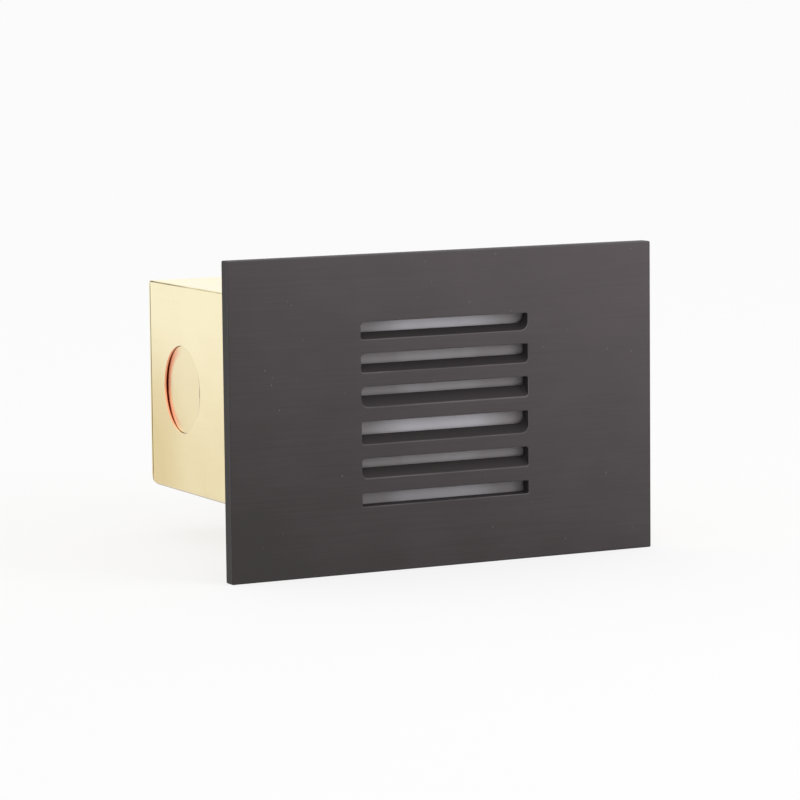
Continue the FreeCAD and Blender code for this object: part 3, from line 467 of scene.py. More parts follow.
@dataclass(frozen=True)
class SheetBrass(Finish):
    """Pale rolled brass with faint clouding and painted shade, and sheared metal with painted light at the
    holes.

    Pairs of lengths say where something starts and where it is full.
    """

    # Warmer, darker colour for the clouding and for the painted shade towards the bottom and back.
    warm_and_shaded: Colour = tint(226, 204, 150)
    # Sheared metal: pale on the box, where it is a painted highlight, and darker copper on the blanks' rims.
    sheared_and_highlight: Colour = tint(255, 244, 222)
    # Painted reflection: dark on the holes' inner walls, and a pale copper band on the blanks.
    painted_reflection: Colour = tint(128, 48, 22)
    # Colour of the dirt in the seams and of the painted shade along the lower bend.
    grime_and_shade: Colour = tint(120, 104, 72)
    hole_radius: float = 11.1
    hole_centre: float = 65.7
    hole_rise: float = 0.5
    tolerance: float = 0.06
    inner: float = 38.3
    border: float = 0.1
    outer_past: Pair = (0.12, 0.3)
    top_seam: float = 26.62
    back_seam: float = 85.0
    seam_half: float = 0.2
    seam_dirt: Pair = (40.0, 86.0)
    seam_gain: float = 0.5
    seam_share: float = 0.15
    # Where the painted shade along the lower bend lies.
    bottom: float = -25.9
    above_bend: Pair = (0.3, 0.65)
    beside_bend: Pair = (0.9, 0.5)
    bend_share: float = 0.8
    # Painted shade: the brass darkens towards the bottom and most at the lower back.
    shade_below: Pair = (-17.0, 25.0)
    shade_behind: Pair = (58.0, 92.0)
    shade_low_behind: Pair = (-17.0, 22.0)
    below_share: float = 0.55
    behind_share: float = 0.78
    least_share: float = 0.05

    def marks(self, sheet: ShaderSheet) -> Tuple[Link, Link]:
        """Finds the walls of the knockout holes.

        Args:
            sheet: The sheet of nodes.

        Returns:
            Where their outer part is, for a painted highlight, and where their inner part is, for a painted
            reflection.
        """
        along_x, along_y, along_z = sheet.axes()
        reach = sheet.distance(along_y - self.hole_centre * MM, along_z - self.hole_rise * MM)
        from_wall = abs(reach - self.hole_radius * MM)
        on_wall = 1.0 - sheet.past(from_wall, 0.5 * self.tolerance, self.tolerance)
        on_wall = on_wall * sheet.past(abs(along_x), self.inner - self.border, self.inner)
        first, full = self.outer_past
        outer = sheet.past(abs(along_x), self.inner + first, self.inner + full)
        return on_wall * outer, on_wall * (1.0 - outer)

    def painted_low_shade(self, sheet: ShaderSheet) -> Link:
        """Paints shade into the brass: darker and warmer towards the bottom, and most at the lower back.

        Args:
            sheet: The sheet of nodes.

        Returns:
            The share of the warmer colour.
        """
        _, along_y, along_z = sheet.axes()
        lower = 1.0 - sheet.past(along_z, *self.shade_below)
        behind = sheet.past(along_y, *self.shade_behind) * (1.0 - sheet.past(along_z, *self.shade_low_behind))
        return lower * self.below_share + behind * self.behind_share - self.least_share

    def grooves(self, sheet: ShaderSheet) -> Link:
        """Finds the dirt in the seams, which fades forwards, and the painted shade along the lower bend.

        Args:
            sheet: The sheet of nodes.

        Returns:
            How much of it shows.
        """
        along_x, along_y, along_z = sheet.axes()
        from_top, from_back = abs(along_z - self.top_seam * MM), abs(along_y - self.back_seam * MM)
        nearest = sheet.maths("MINIMUM", from_top, from_back)
        near = 1.0 - sheet.past(nearest, 0.7 * self.seam_half, self.seam_half)
        near = near * sheet.past(abs(along_x), self.inner, self.inner + self.border)
        patchy = sheet.span(sheet.noise(Grain.EVEN.stretch(120.0), detail=2.0), -0.1, 0.3)
        near = near * (sheet.past(along_y, *self.seam_dirt) * self.seam_gain + patchy + self.seam_share)
        # Painted shade along the lower bend.
        below = 1.0 - sheet.past(along_z, *(self.bottom + rise for rise in self.above_bend))
        bend = sheet.past(abs(along_x), *(self.inner - step for step in self.beside_bend))
        return near.highest(below * bend * self.bend_share)

    def paint(self, sheet: ShaderSheet) -> None:
        """Paints rolling lines, clouding, painted shade, dirt in the seams, and sheared metal with painted
        light.

        Args:
            sheet: The sheet of nodes.
        """
        rolled = sheet.noise(Grain.INWARD.stretch(30.0, 2600.0), detail=4.0, rough=0.6)
        clouds = sheet.noise(Grain.EVEN.stretch(34.0), detail=4.0, rough=0.5, distort=0.6)
        prints = sheet.noise(Grain.EVEN.stretch(160.0))
        # Painted shade towards the bottom and the lower back, with clouding and rolling lines.
        share = self.painted_low_shade(sheet) + sheet.span(clouds, -0.06, 0.12) + sheet.sway(rolled, 0.04)
        colour = sheet.blend(share, self.colour, self.warm_and_shaded)
        colour = sheet.blend(self.grooves(sheet), colour, self.grime_and_shade)
        sheared_and_highlit, reflecting = self.marks(sheet)
        # Painted highlight on sheared metal, and a painted reflection, at the knockouts.
        colour = sheet.blend(sheared_and_highlit, colour, self.sheared_and_highlight)
        colour = sheet.blend(reflecting, colour, self.painted_reflection)
        rough = sheet.span(clouds, -0.04, 0.05) + sheet.sway(prints, 0.02) + self.roughness
        normal = sheet.relief(rolled, depth=0.003, strength=0.3)
        normal = sheet.relief(clouds, depth=0.12, strength=0.15, below=normal)
        sheet.set(base_color=colour, metallic=1.0, roughness=rough, normal=normal)


@dataclass(frozen=True)
class BlankBrass(SheetBrass):
    """The same brass on a knockout's blank, which is turned about an upright axis."""

    side: Side = Side.LEFT
    tilt: float = 2.2
    # Width of the painted reflection of the hole's wall on the blank.
    reflection_reach: float = 3.2
    gap: float = 0.1
    tab_bend: Pair = (0.35, 0.6)
    tab_half: Pair = (1.2, 1.5)
    tab_share: float = 0.6

    def from_tab(self, sheet: ShaderSheet) -> Tuple[Link, Link]:
        """Measures from the tab's bend, in the blank's own directions.

        Args:
            sheet: The sheet of nodes.

        Returns:
            Distance behind the bend, and height over its middle.
        """
        turned_place = sheet.node("ShaderNodeMapping", {"vector_type": "TEXTURE"}, {
            "Vector": sheet.place,
            "Location": (self.side.value * self.inner * MM, (self.hole_centre - self.hole_radius) * MM,
                         self.hole_rise * MM),
            "Rotation": (0.0, 0.0, math.radians(self.side.value * self.tilt)),
        })
        return sheet.axes(turned_place)[1:]

    def marks(self, sheet: ShaderSheet) -> Tuple[Link, Link]:
        """Finds the blank's rim and the painted reflection beside it.

        Args:
            sheet: The sheet of nodes.

        Returns:
            Where the blank's own rim is, and where the painted reflection is that fades from it behind the
            middle.
        """
        behind, along_z = self.from_tab(sheet)
        from_centre = behind - self.hole_radius * MM
        reach = sheet.distance(from_centre, along_z)
        rim = self.hole_radius - self.gap
        edge = sheet.past(reach, rim - self.tolerance, rim - 0.4 * self.tolerance)
        fading = sheet.past(reach, rim - self.reflection_reach, rim - 0.4 * self.reflection_reach)
        struck = sheet.past(from_centre, 0.0, 0.7 * rim)
        return edge, fading * struck * (1.0 - edge)

    def grooves(self, sheet: ShaderSheet) -> Link:
        """Finds the darker line along the tab's bend.

        Args:
            sheet: The sheet of nodes.

        Returns:
            How much of it shows.
        """
        behind, along_z = self.from_tab(sheet)
        across = 1.0 - sheet.past(behind, *self.tab_bend)
        return across * (1.0 - sheet.past(abs(along_z), *self.tab_half)) * self.tab_share


@dataclass(frozen=True)
class Metal(Finish):
    """Plain metal with a grain, a second tone and fine scratches."""

    tone: Colour = (0.6, 0.6, 0.6)
    grain: Grain = Grain.EVEN
    along: float = 60.0
    across: float = 2200.0
    depth: float = 0.01

    def paint(self, sheet: ShaderSheet) -> None:
        """Paints grain, clouding and scratches.

        Args:
            sheet: The sheet of nodes.
        """
        lines = sheet.noise(self.grain.stretch(self.along, self.across), detail=4.0, rough=0.6)
        clouds = sheet.noise(Grain.EVEN.stretch(120.0), rough=0.6, distort=0.3)
        streaks = sheet.noise((900.0, 900.0, 90.0), detail=2.0, rough=0.4, distort=1.2)
        scratches = sheet.ease(streaks, 0.62, 0.68)
        share = sheet.span(clouds, 0.0, 0.8) + sheet.sway(lines, 0.15)
        colour = sheet.blend(share, self.colour, self.tone)
        rough = sheet.span(lines, -0.07, 0.09) + scratches * 0.1 + self.roughness
        normal = sheet.relief(lines + scratches * 0.4, self.depth, strength=0.5)
        sheet.set(base_color=colour, metallic=1.0, roughness=rough, normal=normal)


@dataclass(frozen=True)
class Moulding(Finish):
    """Plastic, rubber or ceramic with a fine skin, faint clouding and, if asked for, specks."""

    tone: Colour = (0.5, 0.5, 0.5)
    skin: float = 1500.0
    depth: float = 0.02
    specks: float = 0.0
    soft: float = 0.0
    gloss: float = 0.0
    scatter: float = 0.8

    def paint(self, sheet: ShaderSheet) -> None:
        """Paints skin, clouding and specks.

        Args:
            sheet: The sheet of nodes.
        """
        skin = sheet.noise(Grain.EVEN.stretch(self.skin), rough=0.6)
        clouds = sheet.noise(Grain.EVEN.stretch(90.0), detail=4.0, rough=0.6, distort=0.3)
        colour = sheet.blend(sheet.span(clouds, 0.0, 0.9), self.colour, self.tone)
        if self.specks:
            dots = 1.0 - sheet.ease(sheet.cells(900.0), 0.08, 0.2)
            colour = sheet.blend(dots * self.specks, colour, tuple(0.35 * part for part in self.tone))
        sheet.set(
            base_color=colour, roughness=sheet.sway(skin, 0.06) + self.roughness,
            normal=sheet.relief(skin, self.depth, strength=0.6), coat_weight=self.gloss,
            subsurface_weight=self.soft, subsurface_radius=(1.0, 1.0, 1.0),
            subsurface_scale=self.scatter * MM,
        )


@dataclass(frozen=True)
class FrostedGlass(Finish):
    """Etched glass that scatters what passes through it.

    Painted light: each lit band has its height, half its width and how bright it is; elsewhere is painted
    shade.
    """

    # Colour of the painted shade on the pane.
    tone: Colour = tint(146, 140, 142)
    etch: float = 2600.0
    lit_bands: Tuple[Point, ...] = ((20.5, 4.5, 1.0), (-4.9, 4.0, 1.0), (-22.0, 3.5, 0.55))
    lit_half: float = 21.0
    between: float = 0.84
    band_gain: float = 0.53
    end_loss: float = 0.7

    def painted_shade(self, sheet: ShaderSheet) -> Link:
        """Paints shade on the pane: least in the lit bands, more between them and most at its ends.

        Args:
            sheet: The sheet of nodes.

        Returns:
            The share of the greyer colour.
        """
        along_x, _, along_z = sheet.axes()
        bands = [
            share - share * sheet.past(abs(along_z - middle * MM), 0.5 * half, 1.3 * half)
            for middle, half, share in self.lit_bands
        ]
        lit = reduce(Link.highest, bands)
        # Painted shade towards the pane's ends.
        ends = sheet.past(abs(along_x), 0.35 * self.lit_half, self.lit_half)
        return self.between - lit * self.band_gain + ends * self.end_loss

    def paint(self, sheet: ShaderSheet) -> None:
        """Paints etched grain, and painted shade with lighter bands.

        Args:
            sheet: The sheet of nodes.
        """
        etch = sheet.noise(Grain.EVEN.stretch(self.etch), rough=0.7)
        clouds = sheet.noise(Grain.EVEN.stretch(60.0))
        colour = sheet.blend(self.painted_shade(sheet) + sheet.sway(clouds, 0.08), self.colour, self.tone)
        sheet.set(
            base_color=colour, roughness=sheet.sway(etch, 0.08) + self.roughness,
            normal=sheet.relief(etch, depth=0.03, strength=0.7), transmission_weight=0.25, IOR=1.5,
        )


class Finishes:
    """Every finish on the light."""

    plate = Bronze("bronze_plate", "plate_bronze", tint(41, 35, 36), 0.46)
    box = SheetBrass("sheet_brass", "box_brass", tint(254, 243, 203), 0.24)
    # The blanks' rims take darker copper, and their painted reflection a pale copper band.
    blanks = {
        side: BlankBrass(f"{side.name.lower()}_blank_brass", "box_brass", tint(247, 234, 192), 0.22,
                         sheared_and_highlight=tint(176, 96, 64), painted_reflection=tint(236, 156, 122), side=side)
        for side in Side
    }
    glass = FrostedGlass("frosted_lens", "frosted_glass", tint(220, 218, 226), 0.5)
    gasket = Moulding("gasket", "gasket_rubber", tint(30, 30, 31), 0.72, tone=tint(44, 43, 42), depth=0.04)
    zinc = Metal("zinc_plate", "plated_steel", tint(206, 208, 210), 0.3, tone=tint(188, 186, 172),
                 depth=0.006)
    spring = Metal("spring_strip", "spring_steel", tint(214, 212, 208), 0.24, tone=tint(196, 192, 184),
                   grain=Grain.INWARD, depth=0.008)
    aluminium = Metal("spun_aluminium", "reflector_aluminium", tint(236, 237, 240), 0.18,
                      tone=tint(224, 226, 230), along=500.0, across=500.0, depth=0.01)
    contact = Metal("turned_brass", "contact_brass", tint(226, 192, 116), 0.26, tone=tint(206, 168, 92),
                    grain=Grain.ACROSS, along=300.0, across=5200.0, depth=0.008)
    nickel = Metal("nickel_pins", "pin_metal", tint(214, 212, 206), 0.2, tone=tint(200, 196, 186),
                   depth=0.004)
    solder = Metal("solder", "pin_metal", tint(204, 206, 208), 0.34, tone=tint(178, 180, 182), depth=0.02)
    ceramic = Moulding("steatite", "socket_ceramic", tint(232, 226, 210), 0.55, tone=tint(220, 212, 192),
                       skin=2600.0, depth=0.02, specks=0.25, soft=0.1)
    base = Moulding("lamp_moulding", "lamp_plastic", tint(238, 238, 236), 0.34, tone=tint(230, 230, 226),
                    depth=0.006, soft=0.15, gloss=0.1)
    board = Moulding("solder_mask", "board_white", tint(240, 240, 236), 0.28, tone=tint(232, 234, 232),
                     skin=900.0, depth=0.004, gloss=0.3)
    chip = Moulding("chip_frame", "board_white", tint(246, 244, 238), 0.4, tone=tint(238, 236, 228),
                    depth=0.003)
    phosphor = Moulding("phosphor", "chip_phosphor", tint(240, 206, 72), 0.42, tone=tint(228, 184, 52),
                        skin=6000.0, depth=0.004, soft=0.2)
    block = Moulding("natural_nylon", "block_nylon", tint(238, 234, 222), 0.42, tone=tint(226, 222, 206),
                     skin=1800.0, depth=0.01, soft=0.2)
    bush = Moulding("black_nylon", "bush_nylon", tint(34, 34, 35), 0.4, tone=tint(44, 44, 46), depth=0.01)
    red = Moulding("red_silicone", "lead_red", tint(176, 40, 30), 0.46, tone=tint(150, 30, 24), depth=0.01)
    black = Moulding("black_silicone", "lead_black", tint(32, 32, 33), 0.46, tone=tint(46, 46, 46),
                     depth=0.01)


# Meshes

def new_object(name: str, data: bpy.types.ID) -> bpy.types.Object:
    """Links an object to the scene.

    Args:
        name: Name of the object.
        data: What it shows: a mesh, a curve, a light or a camera.

    Returns:
        The object, at the origin.
    """
    made = bpy.data.objects.new(name, data)
    bpy.context.scene.collection.objects.link(made)
    return made


def finished_mesh(name: str, shape: bmesh.types.BMesh, smooth: bool = True) -> bpy.types.Mesh:
    """Turns a shape in metres into a mesh with its faces outwards.

    Args:
        name: Name of the mesh.
        shape: The shape, which is freed.
        smooth: Whether its faces are shaded smooth.

    Returns:
        The mesh.
    """
    bmesh.ops.remove_doubles(shape, verts=shape.verts, dist=1e-7)
    bmesh.ops.recalc_face_normals(shape, faces=shape.faces)
    for face in shape.faces:
        face.smooth = smooth
    mesh = bpy.data.meshes.new(name)
    shape.to_mesh(mesh)
    shape.free()
    return mesh


def on_circle(radius: float, angle: float, height: float) -> Point:
    """A place in metres on a circle about the Z axis, from lengths in millimetres."""
    return radius * MM * math.cos(angle), radius * MM * math.sin(angle), height * MM


def turned(name: str, profile: Profile, segments: int = 40) -> bpy.types.Mesh:
    """Turns a profile about the Z axis.

    Args:
        name: Name of the mesh.
        profile: Radius and height of each point in millimetres, from the axis back to the axis.
        segments: Steps round the axis.

    Returns:
        A closed mesh.
    """
    shape = bmesh.new()
    rings: List[List[bmesh.types.BMVert]] = []
    for radius, height in profile:
        if radius <= 0:
            rings.append([shape.verts.new((0, 0, height * MM))])
            continue
        angles = [2 * math.pi * step / segments for step in range(segments)]
        rings.append([shape.verts.new(on_circle(radius, angle, height)) for angle in angles])
    for low, high in zip(rings, rings[1:]):
        for step in range(segments):
            after = (step + 1) % segments
            if len(low) == 1:
                shape.faces.new((low[0], high[after], high[step]))
            elif len(high) == 1:
                shape.faces.new((low[step], low[after], high[0]))
            else:
                shape.faces.new((low[step], low[after], high[after], high[step]))
    return finished_mesh(name, shape)


def arc_profile(radius: float, low: float, high: float, steps: int = 8) -> List[Tuple[float, float]]:
    """A dome from its rim up to the axis.

    Args:
        radius: Radius of the rim.
        low: Height of the rim.
        high: Height of the crown.
        steps: Steps from rim to crown.

    Returns:
        Points from the rim to the axis.
    """
    points = []
    for step in range(steps + 1):
        angle = math.pi / 2 * step / steps
        across = radius * math.cos(angle) if step < steps else 0.0
        points.append((across, low + (high - low) * math.sin(angle)))
    return points


def brick(size: Point, centre: Point, bevel: float = 0.0) -> bmesh.types.BMesh:
    """Makes a block.

    Args:
        size: Its three sides in millimetres.
        centre: Its middle in millimetres.
        bevel: Width of its softened edges in millimetres.

    Returns:
        The shape, in metres.
    """
    shape = bmesh.new()
    bmesh.ops.create_cube(shape, size=1.0)
    bmesh.ops.scale(shape, verts=shape.verts, vec=[part * MM for part in size])
    if bevel:
        bmesh.ops.bevel(shape, geom=shape.edges, offset=bevel * MM, segments=2, profile=0.5, affect="EDGES")
    bmesh.ops.translate(shape, verts=shape.verts, vec=[part * MM for part in centre])
    return shape


def baked(piece: bpy.types.Object, name: str) -> bpy.types.Mesh:
    """Turns what a piece's modifiers or its curve make into a plain mesh.

    Args:
        piece: The piece.
        name: Name of the mesh.

    Returns:
        The mesh.
    """
    graph = bpy.context.evaluated_depsgraph_get()
    graph.update()
    mesh = bpy.data.meshes.new_from_object(piece.evaluated_get(graph))
    mesh.name = name
    return mesh


def merged(name: str, parts: Sequence[bpy.types.Mesh]) -> bpy.types.Mesh:
    """Puts meshes together as they are.

    Args:
        name: Name of the result.
        parts: The meshes.

    Returns:
        One mesh, without materials.
    """
    shape = bmesh.new()
    for part in parts:
        shape.from_mesh(part)
    mesh = bpy.data.meshes.new(name)
    shape.to_mesh(mesh)
    shape.free()
    return mesh


def combined(name: str, body: bpy.types.Mesh, tool: bpy.types.Mesh, operation: str) -> bpy.types.Mesh:
    """Cuts one mesh with another, or keeps what they share.

    Args:
        name: Name of the result.
        body: The mesh that is changed.
        tool: The other mesh.
        operation: DIFFERENCE or INTERSECT.

    Returns:
        The resulting mesh.
    """
    first, second = new_object(name + "_body", body), new_object(name + "_tool", tool)
    modifier = first.modifiers.new("cut", "BOOLEAN")
    modifier.operation, modifier.solver, modifier.object = operation, "EXACT", second
    mesh = baked(first, name)
    bpy.data.objects.remove(first)
    bpy.data.objects.remove(second)
    return mesh


# Geometry Nodes

class Pattern(Tree):
    """A Geometry Nodes tree with named inputs, baked to a plain mesh."""

    def __init__(self, name: str) -> None:
        """Starts the tree with a geometry input.

        Args:
            name: Name of the tree.
        """
        self.group = bpy.data.node_groups.new(name, "GeometryNodeTree")
        super().__init__(self.group)
        self.identifiers: Dict[str, str] = {}
        self.entry = self.tree.nodes.new("NodeGroupInput")
        self.source = self.size("Geometry", "Geometry")
        self.group.interface.new_socket(name="Geometry", in_out="OUTPUT", socket_type="NodeSocketGeometry")

    def size(self, name: str, kind: str = "Float") -> Link:
        """Adds a named input.

        Args:
            name: Name of the input.
            kind: Float, Int, Object, Material or Geometry.

        Returns:
            The input's value.
        """
        socket = self.group.interface.new_socket(name=name, in_out="INPUT", socket_type="NodeSocket" + kind)
        self.identifiers[name] = socket.identifier
        return Link(self, self.entry.outputs[name])

    def shape_of(self, piece: Link) -> Link:
        """The geometry of an object."""
        return self.node("GeometryNodeObjectInfo", {}, {"Object": piece}, "Geometry")

    def place(self, x: Value = 0.0, y: Value = 0.0, z: Value = 0.0) -> Link:
        """A place or a turn from its three values."""
        return self.node("ShaderNodeCombineXYZ", {}, {0: x, 1: y, 2: z})

    def moved(self, geometry: Link, **how: Union[Link, Point]) -> Link:
        """Geometry after a Translation, a Rotation or both."""
        return self.node("GeometryNodeTransform", {}, {"Geometry": geometry, **how})

    def close(self, geometry: Link) -> None:
        """Ends the tree: plain geometry in the named finish.

        Args:
            geometry: What the tree has made.
        """
        finish = self.size("Finish", "Material")
        whole = self.node("GeometryNodeRealizeInstances", {}, {"Geometry": geometry})
        dressed = self.node("GeometryNodeSetMaterial", {}, {"Geometry": whole, "Material": finish})
        self.feed(self.tree.nodes.new("NodeGroupOutput").inputs["Geometry"], dressed)

    def bake(
        self, name: str, values: Dict[str, Any], source: Optional[bpy.types.Mesh] = None,
    ) -> bpy.types.Object:
        """Runs the tree.

        Args:
            name: Name of the piece.
            values: Value of each named input.
            source: Mesh that enters the tree.

        Returns:
            A new object with a plain mesh.
        """
        carrier = new_object(name + "_carrier", source or bpy.data.meshes.new(name + "_source"))
        modifier = carrier.modifiers.new("pattern", "NODES")
        modifier.node_group = self.group
        for key, value in values.items():
            modifier[self.identifiers[key]] = value
        mesh = baked(carrier, name)
        bpy.data.objects.remove(carrier)
        return new_object(name, mesh)


class PlacedCopies(Pattern):
    """Copies of one piece at places that each have their own direction."""

    def __init__(self) -> None:
        """Builds the tree."""
        super().__init__("placed_copies")
        shape = self.shape_of(self.size("Piece", "Object"))
        heading = self.node("GeometryNodeInputNamedAttribute", {"data_type": "FLOAT_VECTOR"}, {
            "Name": "heading",
        })
        turn = self.node("FunctionNodeAlignRotationToVector", {"axis": "Z"}, {"Vector": heading})
        self.close(self.node("GeometryNodeInstanceOnPoints", {}, {
            "Points": self.source, "Instance": shape, "Rotation": turn,
        }))

    def lay(self, name: str, piece: bpy.types.Mesh, places: Places, finish: Finish) -> bpy.types.Object:
        """Sets copies of a piece, whose own Z axis turns to each heading.

        Args:
            name: Name of the result.
            piece: Mesh of one copy, centred on the Z axis.
            places: Place in millimetres and heading of each copy.
            finish: Finish of the copies.

        Returns:
            The baked copies.
        """
        points = bpy.data.meshes.new(name + "_points")
        points.from_pydata([[part * MM for part in place] for place, _ in places], [], [])
        headings = points.attributes.new("heading", "FLOAT_VECTOR", "POINT")
        for item, (_, heading) in zip(headings.data, places):
            item.vector = heading
        template = new_object(name + "_piece", piece)
        made = self.bake(name, {"Piece": template, "Finish": finish.material()}, points)
        bpy.data.objects.remove(template)
        return made


class ThreadedShank(Pattern):
    """A screw: its head on top of a shank with a helical thread, down from the origin."""

    def __init__(self) -> None:
        """Builds the tree."""
        super().__init__("threaded_shank")
        head, radius, length = self.size("Head", "Object"), self.size("Radius"), self.size("Length")
        pitch, depth = self.size("Pitch"), self.size("Depth")
        core = radius - depth
        run = length - pitch
        coil = self.node("GeometryNodeCurveSpiral", {}, {
            "Resolution": 20, "Rotations": run / pitch, "Start Radius": core, "End Radius": core,
            "Height": run,
        })
        upright = self.node("GeometryNodeSetCurveNormal", {"mode": "Z_UP"}, {"Curve": coil})
        ridge = self.node("GeometryNodeCurvePrimitiveCircle", {"mode": "RADIUS"}, {
            "Resolution": 4, "Radius": depth,
        })
        thread = self.node("GeometryNodeCurveToMesh", {}, {
            "Curve": upright, "Profile Curve": ridge, "Fill Caps": True,
        })
        thread = self.moved(thread, Translation=self.place(z=0.0 - length + pitch * 0.5))
        rod = self.node("GeometryNodeMeshCylinder", {}, {
            "Vertices": 24, "Radius": core, "Depth": length,
        }, "Mesh")
        rod = self.moved(rod, Translation=self.place(z=length * -0.5))
        joined = self.tree.nodes.new("GeometryNodeJoinGeometry")
        for part in (self.shape_of(head), rod, thread):
            self.tree.links.new(part.socket, joined.inputs[0])
        self.close(Link(self, joined.outputs[0]))


class Ring(Pattern):
    """Copies of one piece on a ring that faces the front, each turned outwards."""

    def __init__(self) -> None:
        """Builds the tree."""
        super().__init__("ring_of_copies")
        shape, count = self.shape_of(self.size("Piece", "Object")), self.size("Count", "Int")
        radius, depth = self.size("Radius"), self.size("Depth")
        circle = self.node("GeometryNodeMeshCircle", {}, {"Vertices": count, "Radius": radius})
        index = self.node("GeometryNodeInputIndex")
        turn = self.place(z=index * (2 * math.pi) / count - math.pi / 2)
        copies = self.node("GeometryNodeInstanceOnPoints", {}, {
            "Points": circle, "Instance": shape, "Rotation": turn,
        })
        copies = self.moved(copies, Rotation=(0.0, 0.0, math.pi / 2))
        self.close(self.moved(copies, Rotation=(math.pi / 2, 0.0, 0.0), Translation=self.place(y=depth)))


@dataclass(frozen=True)
class ScrewSize:
    """Sizes of a slotted screw. The shank's length is under the head."""

    radius: float
    length: float
    head_radius: float
    head_height: float


@dataclass(frozen=True)
class NutSize:
    """Sizes of a hexagonal nut: width across its flats, height, and radius of its hole."""

    flats: float
    thickness: float
    bore: float


@dataclass
class Workshop:
    """The Geometry Nodes trees and the small hardware that the sub-assemblies share.

    Shares of a screw are parts of its radius or of its head's height, and those of a nut of its flats.
    """

    copies: PlacedCopies = field(default_factory=PlacedCopies)
    shank: ThreadedShank = field(default_factory=ThreadedShank)
    ring: Ring = field(default_factory=Ring)
    slot_width: float = 0.5
    soft_share: float = 0.12
    flat_share: float = 0.62
    crown_steps: int = 6
    pitch_share: float = 0.34
    thread_share: float = 0.13
    chamfer_share: float = 0.13
    chamfer_slope: float = 0.6
    spare: float = 0.01
    overcut: float = 1.0

    def screw(self, name: str, size: ScrewSize) -> bpy.types.Mesh:
        """Makes a slotted screw whose head stands on the origin and whose shank runs down.

        Args:
            name: Name of the mesh.
            size: The screw's sizes.

        Returns:
            The screw's mesh.
        """
        wide, high = size.head_radius, size.head_height
        soft = self.soft_share * high
        profile = [(0.0, 0.0), (wide - soft, 0.0), (wide, soft), (wide, 0.5 * high)]
        for step in range(1, self.crown_steps + 1):
            angle = math.pi / 2 * step / self.crown_steps
            across = self.flat_share + (1.0 - self.flat_share) * math.cos(angle)
            profile.append((wide * across, high * (0.5 + 0.5 * math.sin(angle))))
        profile.append((0.0, high))
        slot = finished_mesh(name + "_slot", brick((self.slot_width, 3 * wide, high), (0, 0, high)), False)
        head = new_object(name + "_head", combined(name, turned(name, profile), slot, "DIFFERENCE"))
        made = self.shank.bake(name + "_whole", {
            "Head": head, "Radius": size.radius * MM, "Length": size.length * MM,
            "Pitch": self.pitch_share * size.radius * MM, "Depth": self.thread_share * size.radius * MM,
            "Finish": Finishes.zinc.material(),
        })
        mesh = made.data
        bpy.data.objects.remove(made)
        bpy.data.objects.remove(head)
        return mesh

    def nut(self, name: str, size: NutSize) -> bpy.types.Mesh:
        """Makes a hexagonal nut with chamfered corners, from the origin upwards.

        Args:
            name: Name of the mesh.
            size: The nut's sizes.

        Returns:
            The nut's mesh.
        """
        half, high, bore = size.flats / 2, size.thickness, size.bore
        reach = half / math.cos(math.pi / 6)
        corners = [math.radians(30 + 60 * step) for step in range(6)]
        shape = bmesh.new()
        low, top = (
            [shape.verts.new(on_circle(reach, angle, height)) for angle in corners] for height in (0.0, high)
        )
        shape.faces.new(low)
        shape.faces.new(top)
        for step in range(6):
            after = (step + 1) % 6
            shape.faces.new((low[step], low[after], top[after], top[step]))
        prism = finished_mesh(name + "_prism", shape, False)
        spread = reach + self.spare
        slope = (spread - half) * self.chamfer_slope
        lens = turned(name + "_lens", [
            (0.0, 0.0), (half, 0.0), (spread, slope), (spread, high - slope), (half, high), (0.0, high),
        ], segments=48)
        body = combined(name, prism, lens, "INTERSECT")
        cut, over = self.chamfer_share * size.flats, self.overcut
        hole = turned(name + "_hole", [
            (0.0, -over), (bore + over + cut, -over), (bore, cut), (bore, high - cut),
            (bore + over + cut, high + over), (0.0, high + over),
        ], segments=32)
        return combined(name, body, hole, "DIFFERENCE")


# Sub-assemblies

class Assembly:
    """A body's solids with their finishes, and the ways to dress them or to set finer pieces."""

    body = ""
    solids: Dict[str, Finish] = {}

    def dress(self, node: str, finish: Finish) -> None:
        """Gives a solid its finish.

        Args:
            node: Name of the solid.
            finish: Its finish.
        """
        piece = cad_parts[node]
        if not piece.material_slots:
            piece.data.materials.append(None)
        for place in piece.material_slots:
            place.material = finish.material()
        log.info("%s: solid in %s", node, finish.name)

    def set_piece(self, piece: bpy.types.Object, finish: Finish, *nodes: str) -> None:
        """Sets a finer piece on its body.

        Args:
            piece: The piece, at the origin.
            finish: Its finish.
            nodes: Solids for which it stands.
        """
        if not piece.data.materials:
            piece.data.materials.append(finish.material())
        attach(piece, self.body)
        if nodes:
            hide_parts(*nodes)
        log.info("%s: %d faces in %s", piece.name, len(piece.data.polygons), finish.name)

    def set_copies(
        self, shop: Workshop, name: str, copy: bpy.types.Mesh, places: Places, node: str,
        finish: Finish = Finishes.zinc,
    ) -> None:
        """Sets copies of a small part in place of a solid.

        Args:
            shop: Where the copies are laid.
            name: Name of the piece.
            copy: One copy, centred on the Z axis.
            places: Place in millimetres and heading of each copy.
            node: The solid for which they stand.
            finish: Their finish.
        """
        self.set_piece(shop.copies.lay(name, copy, places, finish), finish, node)

    def set_pieces(self, shop: Workshop) -> None:
        """Sets finer pieces where a solid is plain, if there are any."""

    def build(self, shop: Workshop) -> None:
        """Dresses the solids and sets the finer pieces.

        Args:
            shop: The shared trees and hardware.
        """
        for node, finish in self.solids.items():
            self.dress(node, finish)
        self.set_pieces(shop)


